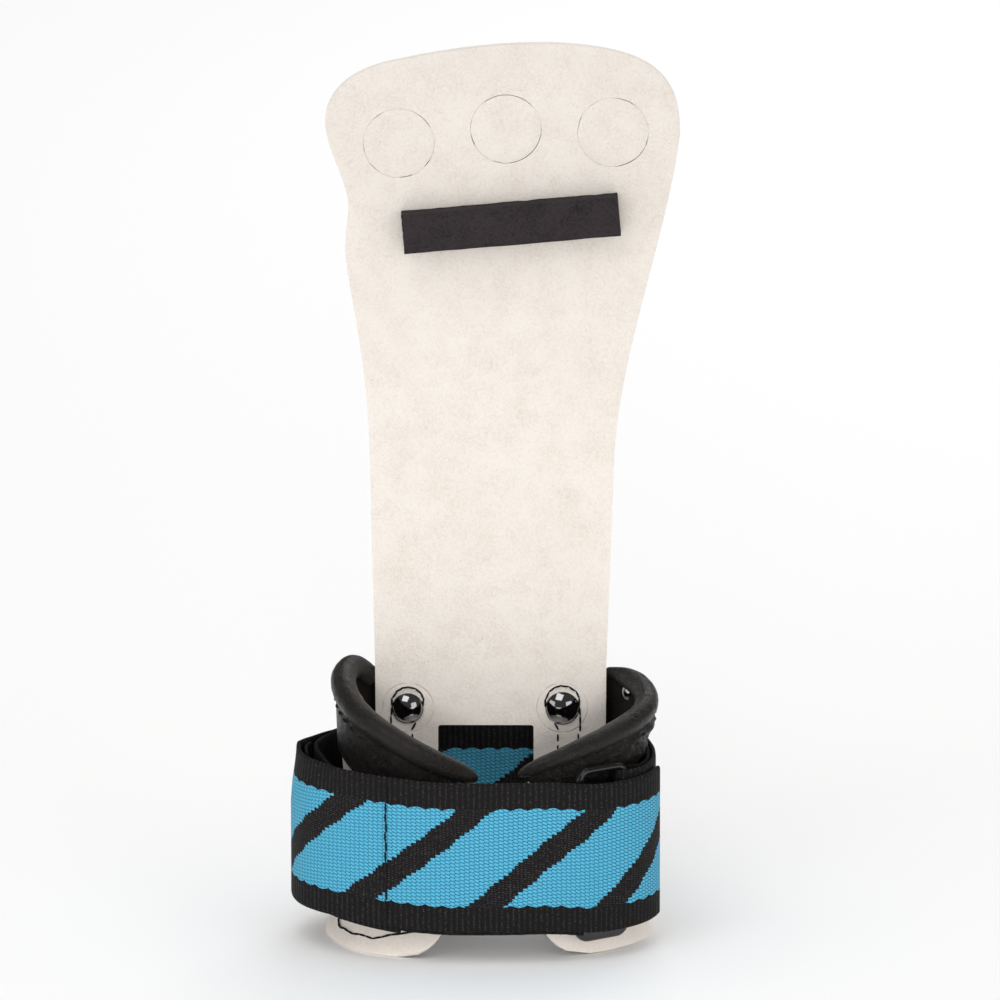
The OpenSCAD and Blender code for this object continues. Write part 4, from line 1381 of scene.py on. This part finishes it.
@dataclass
class Rivet:
    """A domed rivet through a leg of the palm leather, with the thread that runs round it."""

    side: Side
    x: float = 20.1
    z: float = 54.5
    palm_y: float = 20.4
    cap_rs: tuple[float, float] = (4.05, 4.4)
    post_r: float = 1.6
    depth: float = 4.9

    @property
    def cap_r(self) -> float:
        """The radius of this side's dome."""
        return self.cap_rs[0 if self.side is Side.LEFT else 1]

    def cap(self) -> bmesh.types.BMesh:
        """The dome with its rolled rim and its post."""
        centre = Vector((self.side.value * self.x, self.palm_y - 0.15, self.z))
        dome = 2.15
        ball = (self.cap_r ** 2 + dome ** 2) / (2 * dome)
        profile = [(0.0, dome)]
        for i in range(1, 15):
            r = (self.cap_r - 0.12) * i / 14
            profile.append((r, dome - ball + math.sqrt(ball * ball - r * r)))
        profile += [(self.cap_r, 0.2), (self.cap_r + 0.02, 0.06), (self.cap_r - 0.12, -0.05),
                    (self.post_r + 0.3, -0.05), (self.post_r, -0.2), (self.post_r, -self.depth),
                    (self.post_r - 0.3, -self.depth - 0.15), (0.0, -self.depth - 0.15)]
        return turned(profile, centre, Vector((0, -1, 0)), 64)

    def stitches(self, foot: float, thread: float) -> bmesh.types.BMesh:
        """The thread: an arch close round the cap and two lines down the leg."""
        bm = bmesh.new()
        out = Vector((0, -1, 0))
        s = self.side.value
        cx = s * self.x
        r = self.cap_r + 0.1
        y = self.palm_y - 0.02
        line = [(-r - 0.05, -6.2), (-r - 0.1, -2.2)]
        line += [(r * math.cos(math.radians(a)), 1.6 + r * math.sin(math.radians(a)))
                 for a in (196, 164, 137, 112, 88, 64, 38, 10, -16)]
        for (x0, z0), (x1, z1) in zip(line, line[1:]):
            count = max(1, round(math.hypot(x1 - x0, z1 - z0) / 2.1))
            for i in range(count):
                w = (i + 0.5) / count
                jog = 0.12 * math.sin(31.7 * (x0 + z1 + i))
                add_stitch(bm, Vector((cx - s * (mix(x0, x1, w) + jog), y, self.z + mix(z0, z1, w))),
                           Vector((-s * (x1 - x0 + jog), 0, z1 - z0 - jog)), out, 2.4, thread * 0.85)
        add_stitch(bm, Vector((cx - s * 1.5, y, self.z - 5.0)), Vector((-s * 0.55, 0, 1)), out, 2.6,
                   thread * 0.85)
        for offset in (-r + 0.4, 1.2):
            z = self.z - 6.6
            while z > foot + 3:
                add_stitch(bm, Vector((cx - s * offset, y, z - 1.4)), Vector((0, 0, 1)), out, 2.3,
                           thread * 0.85)
                z -= 3.1
        return bm

    def build(self, wardrobe: Wardrobe, thread: float) -> None:
        """Builds the cap and the thread."""
        w = self.side.word
        piece(self.cap(), f"domed_rivet_{w}", wardrobe.nickel, "wristband", (f"rivet_cap_{w}",),
              50)
        piece(self.stitches(3.0, thread), f"leg_seam_{w}", wardrobe.thread, "wristband",
              (f"stitches_leg_{w}",))


# ---------------------------------------------------------------- strap, tapes and ring


@dataclass
class Strap:
    """The woven strap: once round the wrist, through the ring, back round and over the front."""

    loop: PlanLoop = PlanLoop(-2.3, 0.0, 48.0, 33.0, 28.9, 2.4)
    wing: PlanLoop = PlanLoop(1.7, 2.35, 38.2, 29.0, 23.7, 2.0)
    width: float = 40.0
    thickness: float = 1.2
    foot: float = 9.0
    ply_gap: float = 0.25
    gap: float = 0.15
    flap_t: float = 0.8
    curl: float = -5.2
    start_u: float = 249.0
    end_u: float = 352.0
    fluff_u: tuple[float, float] = (188.0, 143.0)
    peel_x: float = -28.0
    ring_x: float = 34.0
    ring_depth: float = 5.25
    ring_w: float = 16.0
    ring_t: float = 2.8
    foot_rail: float = 4.8
    approach: float = 24.0
    rib: float = 1.45
    selvedge: float = 6.8
    block_x: float = 2.3
    back_block_x: float = 12.4
    hook_x: tuple[float, float] = (-22.7, 26.5)
    hook_t: float = 0.8
    loop_t: float = 0.8
    tab_t: float = 1.0

    def __post_init__(self) -> None:
        """Works out the ring's bars and the strap's line."""
        self.ring_u = self.loop.front_angle(self.ring_x) - 360
        self.ring_c = self.loop.point(self.ring_u, -self.ring_depth)
        self.out = self.loop.outward(self.ring_u)
        self.along = Vector((-self.out.y, self.out.x, 0))
        self.bar_step = (self.ring_w - self.ring_t) / 2
        self.right_bar = self.ring_c + self.along * self.bar_step
        self.left_bar = self.ring_c - self.along * self.bar_step
        self.bar_u = self.loop.front_angle(self.right_bar.x) - 360
        self.peel_u = self.loop.front_angle(self.peel_x)
        self.fold_r = self.ring_t / 2 + self.gap + self.thickness / 2
        t, g = self.thickness, self.ply_gap
        self.side_first, self.back_first = -(2 * (t + g) + t / 2), -(t + g + t / 2)
        self.to_inner = self.right_bar - self.out * self.fold_r - self.first(self.bar_u)
        self.to_outer = self.right_bar + self.out * self.fold_r - self.second(self.bar_u)

        def near(u: float) -> float:
            """How far the strap has left the loop for the ring's bar, from 0 to 1."""
            return 1 - ease((u - self.bar_u) / self.approach)

        first = [self.first(u) + self.to_inner * near(u) for u in self.angles(self.start_u, self.bar_u + 1.5)]
        turn = self.turn_about(self.right_bar, self.fold_r, -1)
        second = [self.second(u) + self.to_outer * near(u) for u in self.angles(self.bar_u + 1.5,
                                                                                self.peel_u)]
        self.main = PlanPath(self.pinch(p) for p in first + turn + second)
        self.turn_s = PlanPath(first + turn[:len(turn) // 2]).length
        free = [self.pinch(self.loop.point(u, -t / 2)) for u in self.angles(self.peel_u, self.end_u)]
        self.free = PlanPath(free)
        block_u = self.loop.front_angle(self.block_x)
        self.block_s = self.main.length + PlanPath(
            [self.loop.point(u, -t / 2) for u in self.angles(self.peel_u, block_u)]).length
        back_s = self.main.length_where(lambda p: p.x > self.back_block_x and p.y > 10)
        self.back_shift = (back_s - 23.5) - self.block_s
        self.plain_s = self.main.length_where(lambda p: p.x > -22 and p.y > 10)

    @staticmethod
    def angles(a: float, b: float, step: float = 1.5) -> list[float]:
        """Evenly spaced angles from a to b, both included."""
        count = max(1, round(abs(b - a) / step))
        return [mix(a, b, i / count) for i in range(count + 1)]

    def first(self, u: float) -> Vector:
        """The first wrap, loose at the left and close under the later plies elsewhere."""
        if u > 190:
            off = mix(self.curl, self.back_first, ease((u - 192) / 34))
        elif u > 90:
            off = mix(self.back_first, self.curl, ease((u - 110) / 60))
        else:
            off = mix(self.side_first, self.back_first, ease((u - 25) / 45))
        return self.loop.point(u, off)

    def second(self, u: float) -> Vector:
        """The second wrap, one ply deeper at the right, where the free end covers it."""
        return self.loop.point(u, mix(self.back_first, -self.thickness / 2, ease((u - 25) / 45)))

    def turn_about(self, centre: Vector, r: float, side: int) -> list[Vector]:
        """A half turn about a bar of the ring, from the inner to the outer side."""
        return [centre
                + (self.along * side * math.cos(math.radians(a)) + self.out * math.sin(math.radians(a))) * r
                for a in range(-90, 91, 10)]

    def lift(self, p: Vector) -> float:
        """How much higher the strap sits towards the left."""
        return -0.3 + 2.3 * ease((-6 - p.x) / 40) * ease((17 - p.y) / 17)

    @staticmethod
    def droop(p: Vector) -> float:
        """How much the free end hangs towards the right."""
        return 1.7 * ease((p.x - 14) / 18) + 0.6 * ease((p.y + 10) / 9) * ease((p.x - 14) / 18)

    @staticmethod
    def pinch(p: Vector) -> Vector:
        """Draws the strap in at the two back corners, where it is pulled round the wrist."""
        left, right = 7.4 * ease((-31 - p.x) / 10), 3.0 * ease((p.x - 34) / 9)
        return Vector((p.x, p.y - (left + right) * ease(p.y / 14), p.z))

    def section(self) -> list[tuple[float, float]]:
        """The outline of the woven strap's cut: height and depth, once round."""
        half, w = self.thickness / 2, self.width
        rows = [0.9, 2.4, 3.9, 5.4, 6.8, 10, 15, 20, 25, 30, 33.2, 34.6, 36.1, 37.6, 39.1]
        rim = [(w - 0.35, half * 0.86), (w - 0.06, half * 0.5), (w, 0.0), (w - 0.06, -half * 0.5),
               (w - 0.35, -half * 0.86)]
        line = [(0.0, 0.0), (0.06, half * 0.5), (0.35, half * 0.86)] + [(h, half) for h in rows] + rim
        line += [(h, -half) for h in reversed(rows)] + [(0.35, -half * 0.86), (0.06, -half * 0.5), (0.0, 0.0)]
        return line

    def ribbon(self, path: PlanPath, start_s: float, pitch: float = 0.3625) -> bmesh.types.BMesh:
        """A length of the strap with its ribbed edges, and its map.

        Args:
            path: the line that it follows.
            start_s: the strap's length at the start of the line.
            pitch: the length of a face.

        Returns:
            The closed mesh.
        """
        line = self.section()
        last = len(line) - 1
        columns = max(2, round(path.length / pitch))

        def place(u: float, v: float) -> Vector:
            s = u * path.length
            h, depth = line[min(last, round(v * last))]
            edge = ease((self.selvedge - min(h, self.width - h)) / 1.2)
            rib = abs(math.sin(math.pi * (s + start_s) / self.rib))
            p, n = path.at(s), path.normal(s)
            probe = Vector((s, h, 0.0))
            depth *= 1 - 0.06 * edge + 0.08 * edge * rib
            sway = 0.12 * noise.noise(probe / 17) * ease(s / 4) * ease((path.length - s) / 4)
            rim = 1 if h > self.width - 0.5 else -1 if h < 0.5 else 0
            z = self.foot + h + self.lift(p) + rim * 0.035 * rib
            if start_s > 0:
                z -= self.droop(p)
            else:
                z -= 2.0 * ease(1 - s / 34)
            lean = 1.4 * ease((h - 25) / 15) * ease((-36 - p.x) / 8)
            return Vector((p.x + lean, p.y, z)) + n * (depth + sway)

        bm = grid(columns, last, place)
        along = bm.verts.layers.float.new("along")
        high = bm.verts.layers.float.new("high")
        order = bm.verts[:]
        for index, v in enumerate(order):
            column, row = index % (columns + 1), index // (columns + 1)
            v[along] = column / columns * path.length + start_s
            v[high] = line[min(last, row)][0]
        bmesh.ops.remove_doubles(bm, verts=bm.verts[:], dist=WELD)
        bmesh.ops.holes_fill(bm, edges=open_edges(bm), sides=0)
        bmesh.ops.recalc_face_normals(bm, faces=bm.faces[:])
        layer = bm.loops.layers.uv.new("UVMap")
        for face in bm.faces:
            for corner in face.loops:
                s, h = corner.vert[along], corner.vert[high]
                s -= self.block_s
                if start_s == 0.0 and corner.vert[along] < self.plain_s:
                    h = min(h, 5.5)
                if start_s == 0.0:
                    s -= self.back_shift * ease((self.turn_s - s - self.block_s) / 40)
                corner[layer].uv = (s * UV_MM, h * UV_MM)
        return bm

    def tape(self, points: Sequence[Vector], thickness: float, low: float, high: float,
             pitch: float = 1.2, hangs: bool = False) -> bmesh.types.BMesh:
        """A thin tape along a line in plan, with its map.

        Args:
            points: its middle line.
            thickness: how thick it is.
            low: its lower edge.
            high: its upper edge.
            pitch: the length of a face.
            hangs: whether it is lower where the free end hangs.

        Returns:
            The closed mesh.
        """
        path = PlanPath(points)
        columns = max(2, round(path.length / pitch))

        def place(u: float, v: float) -> Vector:
            s = u * path.length
            p, n = path.at(s), path.normal(s)
            z = mix(low, high, v) + self.lift(p) + (0.12 * noise.noise(Vector((s / 2, v * 9, 0))))
            z -= self.droop(p) if hangs else 0.0
            return Vector((p.x, p.y, z)) - n * thickness / 2

        bm = grid(columns, 14, place)
        layer = bm.loops.layers.uv.new("UVMap")
        for face in bm.faces:
            for corner in face.loops:
                p = corner.vert.co
                corner[layer].uv = ((p.x + p.y) * UV_MM, p.z * UV_MM)
        bm.normal_update()
        face = bm.faces[0]
        centre = face.calc_center_median()
        nearest = min(range(len(path.points)), key=lambda i: (path.points[i] - Vector((centre.x, centre.y,
                                                                                       0))).length)
        if face.normal.dot(path.normal(path.lengths[nearest])) > 0:
            bmesh.ops.reverse_faces(bm, faces=bm.faces[:])
        return plate(bm, thickness, 0.12, 1)

    def ring(self) -> bmesh.types.BMesh:
        """The moulded ring: two bars and two rails in one rounded frame."""
        low = self.foot - self.foot_rail - 0.6 + self.ring_t / 2
        high = self.foot + self.width + 0.75
        corner, b = 2.2, self.bar_step
        line: list[tuple[float, float]] = []
        for cx, cz, start in ((b - corner, high - corner, 0), (-b + corner, high - corner, 90),
                              (-b + corner, low + corner, 180), (b - corner, low + corner, 270)):
            line += [(cx + corner * math.cos(math.radians(start + a)),
                      cz + corner * math.sin(math.radians(start + a)))
                     for a in range(0, 91, 10)]
        line.append(line[0])
        path = PlanPath([Vector((x, z, 0)) for x, z in line])

        def place(u: float, v: float) -> Vector:
            s = u * path.length if u < 1 else 0.0
            p = path.at(s)
            d = (path.at((s + 0.3) % path.length) - path.at((s - 0.3) % path.length)).normalized()
            n = Vector((d.y, -d.x, 0))
            a = v * math.tau
            r = self.ring_t / 2
            c, k = power(math.cos(a), 0.75), power(math.sin(a), 0.75)
            deep = 1 + 0.8 * ease((self.foot - 1 - p.y) / 3)
            slim = 1 - 0.4 * ease((p.y - high + 3) / 2.5)
            flat = p + n * r * c * (deep if n.y * c > 0 else 1) * slim
            return self.ring_c + self.along * flat.x + Vector((0, 0, flat.y)) + self.out * r * 0.96 * k

        return tube(150, 22, place, endless=True)

    def on_wing(self, x: float, off: float) -> Vector:
        """A point in plan that lies off the wing's outer face at this x."""
        return self.wing.point(self.wing.front_angle(x), off)

    def tab_line(self) -> list[Vector]:
        """The line of the tab that holds the ring, folded about its left bar."""
        r = self.ring_t / 2 + self.gap + self.tab_t / 2
        a, b = self.left_bar - self.out * r, self.left_bar + self.out * r
        under = 2 * self.gap + self.flap_t + self.tab_t / 2
        over = under + self.tab_t + self.gap
        line = [self.on_wing(x, under) for x in range(13, 22, 2)]
        line.append(self.on_wing(23, under).lerp(a, 0.5))
        line += self.turn_about(self.left_bar, r, 1)
        line += [b - self.along, (b - self.along * 3).lerp(self.on_wing(18, over), 0.5)]
        return line + [self.on_wing(x, over) for x in range(17, 12, -2)]

    def cross_seam(self, thread: float) -> bmesh.types.BMesh:
        """The upright seam through the strap beside the peel line."""
        bm = bmesh.new()
        u = self.loop.front_angle(self.peel_x + 2.4)
        p, out = self.loop.point(u, 0.02), self.loop.outward(u)
        z = self.foot + 3.2
        lean = self.loop.outward(u).cross(Vector((0, 0, 1)))
        while z < self.foot + self.width - 2.5:
            centre = Vector((p.x, p.y, z + self.lift(p))) + lean * 0.12 * math.sin(z)
            add_stitch(bm, centre, Vector((0, 0, 1)) + lean * 0.03, out, 2.75, thread)
            z += 2.6
        return bm

    def build(self, wardrobe: Wardrobe, thread: float) -> None:
        """Builds the strap, its tapes, the ring and the tab."""
        piece(self.ribbon(self.main, 0.0), "woven_strap", wardrobe.strap, "wristband", ("strap",))
        free = piece(self.ribbon(self.free, self.main.length), "woven_strap_end", wardrobe.strap, None,
                     ("strap_end",))
        first = self.free.at(0.0)
        across = self.free.at(1.9)
        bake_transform(free)
        inset = -self.thickness - self.gap - self.hook_t / 2
        hooks = [self.loop.point(u, inset) for u in self.angles(
            self.loop.front_angle(self.hook_x[0]), self.loop.front_angle(self.hook_x[1]), 1.0)]
        piece(self.tape(hooks, self.hook_t, self.foot - 1.2, self.foot + self.width - 1.4, hangs=True),
              "hook_tape_strip",
              wardrobe.hooks, "strap_flap", ("hook_tape",))
        path = PlanPath(self.pinch(self.first(u)) for u in self.angles(*self.fluff_u))
        off = self.thickness / 2 + self.ply_gap + self.loop_t / 2
        fluff = [p + path.normal(s) * off for p, s in zip(path.points, path.lengths)]
        piece(self.tape(fluff, self.loop_t, self.foot + 1, self.foot + self.width - 1), "loop_tape_strip",
              wardrobe.hooks, "wristband", ("loop_tape",))
        piece(self.ring(), "strap_ring", wardrobe.plastic, "wristband", ("ring",))
        piece(self.tape(self.tab_line(), self.tab_t, self.foot + 5, self.foot + self.width - 6, 0.5),
              "ring_tab_strip", wardrobe.tab, "wristband", ("ring_tab",))
        piece(self.cross_seam(thread), "strap_seam", wardrobe.thread, "strap_flap", ("stitches_strap",))


# ---------------------------------------------------------------- studio


@dataclass
class Studio:
    """The camera, the lights and the pale floor."""

    target: Vector = field(default_factory=lambda: Vector((0.00387, 0.0, 0.1166)))
    elevation_deg: float = 16.0
    distance: float = 5.0
    frame_width: float = 0.258

    def set_camera(self) -> None:
        """Makes the scene's camera."""
        data = bpy.data.cameras.new("camera")
        data.lens = 36 * self.distance / self.frame_width
        data.clip_start, data.clip_end = 0.5, 40
        camera = bpy.data.objects.new("camera", data)
        bpy.context.collection.objects.link(camera)
        a = math.radians(self.elevation_deg)
        back = Vector((0, -math.cos(a), math.sin(a)))
        camera.location = self.target + back * self.distance
        camera.rotation_mode = "QUATERNION"
        camera.rotation_quaternion = (-back).to_track_quat("-Z", "Y")
        bpy.context.scene.camera = camera

    @staticmethod
    def lamp(name: str, at: tuple[float, float, float], size: float, power_w: float,
             look: Vector = Vector((0, 0, 0.12))) -> None:
        """Adds a soft square light."""
        data = bpy.data.lights.new(name, "AREA")
        data.shape, data.size, data.energy = "SQUARE", size, power_w
        lamp = bpy.data.objects.new(name, data)
        bpy.context.collection.objects.link(lamp)
        lamp.location = at
        lamp.rotation_mode = "QUATERNION"
        lamp.rotation_quaternion = (look - Vector(at)).to_track_quat("-Z", "Y")

    @staticmethod
    def spot(name: str, at: tuple[float, float, float], look: tuple[float, float, float],
             power_w: float) -> None:
        """Adds a narrow soft spot that brightens a spot without showing in the metal."""
        data = bpy.data.lights.new(name, "SPOT")
        data.energy, data.shadow_soft_size = power_w, 0.12
        data.spot_size, data.spot_blend = math.radians(21), 1.0
        lamp = bpy.data.objects.new(name, data)
        lamp.visible_glossy = False
        bpy.context.collection.objects.link(lamp)
        lamp.location = at
        lamp.rotation_mode = "QUATERNION"
        lamp.rotation_quaternion = (Vector(look) - lamp.location).to_track_quat("-Z", "Y")

    def set_stage(self) -> None:
        """Makes the floor, the lights and the pale surround."""
        bm = bmesh.new()
        bmesh.ops.create_grid(bm, x_segments=1, y_segments=1, size=6)
        mesh = bpy.data.meshes.new("floor")
        bm.to_mesh(mesh)
        bm.free()
        floor = bpy.data.objects.new("floor", mesh)
        bpy.context.collection.objects.link(floor)
        material, _, shader = Finish("pale_floor", roughness=0.9, specular=0.1).start()
        shader.inputs["Base Color"].default_value = (0.99, 0.99, 0.99, 1)
        mesh.materials.append(material)
        floor.location.z = -0.0006
        self.lamp("key", (-0.35, -0.7, 1.25), 0.9, 4.1)
        self.lamp("fill", (0.9, -1.1, 0.35), 0.9, 2.9)
        self.lamp("side", (-1.1, -0.6, 0.25), 0.8, 1.9)
        self.lamp("rim", (0.3, 1.0, 0.8), 0.8, 3)
        self.spot("low", (-0.05, -0.95, 0.09), (0, 0, 0.01), 12.5)
        world = bpy.data.worlds.new("studio")
        world.use_nodes = True
        shade = world.node_tree.nodes["Background"]
        shade.inputs["Color"].default_value = (1, 1, 1, 1)
        graph = Graph(world.node_tree)
        glossy = graph.add("ShaderNodeLightPath").outputs["Is Glossy Ray"]
        graph.feed(shade.inputs["Strength"], graph.step(glossy, 0.0, 1.0, 0.7, 0.07))
        bpy.context.scene.world = world
        bpy.context.scene.view_settings.view_transform = "Standard"


def dress_hardware(wardrobe: Wardrobe) -> None:
    """Gives the CAD nodes that stay in view their materials."""
    for name, dressing in (("rivet_back_left", wardrobe.nickel), ("rivet_back_right", wardrobe.nickel),
                           ("washer_left", wardrobe.steel),
                           ("washer_right", wardrobe.steel)):
        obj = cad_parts[name]
        obj.data.materials.clear()
        obj.data.materials.append(dressing)
        log.info("%s: dressed", name)


def main() -> None:
    """Builds the grip in the order in which it is made."""
    logging.basicConfig(level=logging.INFO, format="%(name)s %(message)s")
    thread = 0.6
    studio = Studio()
    studio.set_camera()
    wardrobe = Wardrobe(Effects())
    PalmLeather().build(wardrobe)
    Dowel().build(wardrobe)
    for side in Side:
        Wing(side).build(wardrobe, thread)
        Rivet(side).build(wardrobe, thread)
    Strap().build(wardrobe, thread)
    dress_hardware(wardrobe)
    studio.set_stage()


if __name__ == "__main__":
    main()
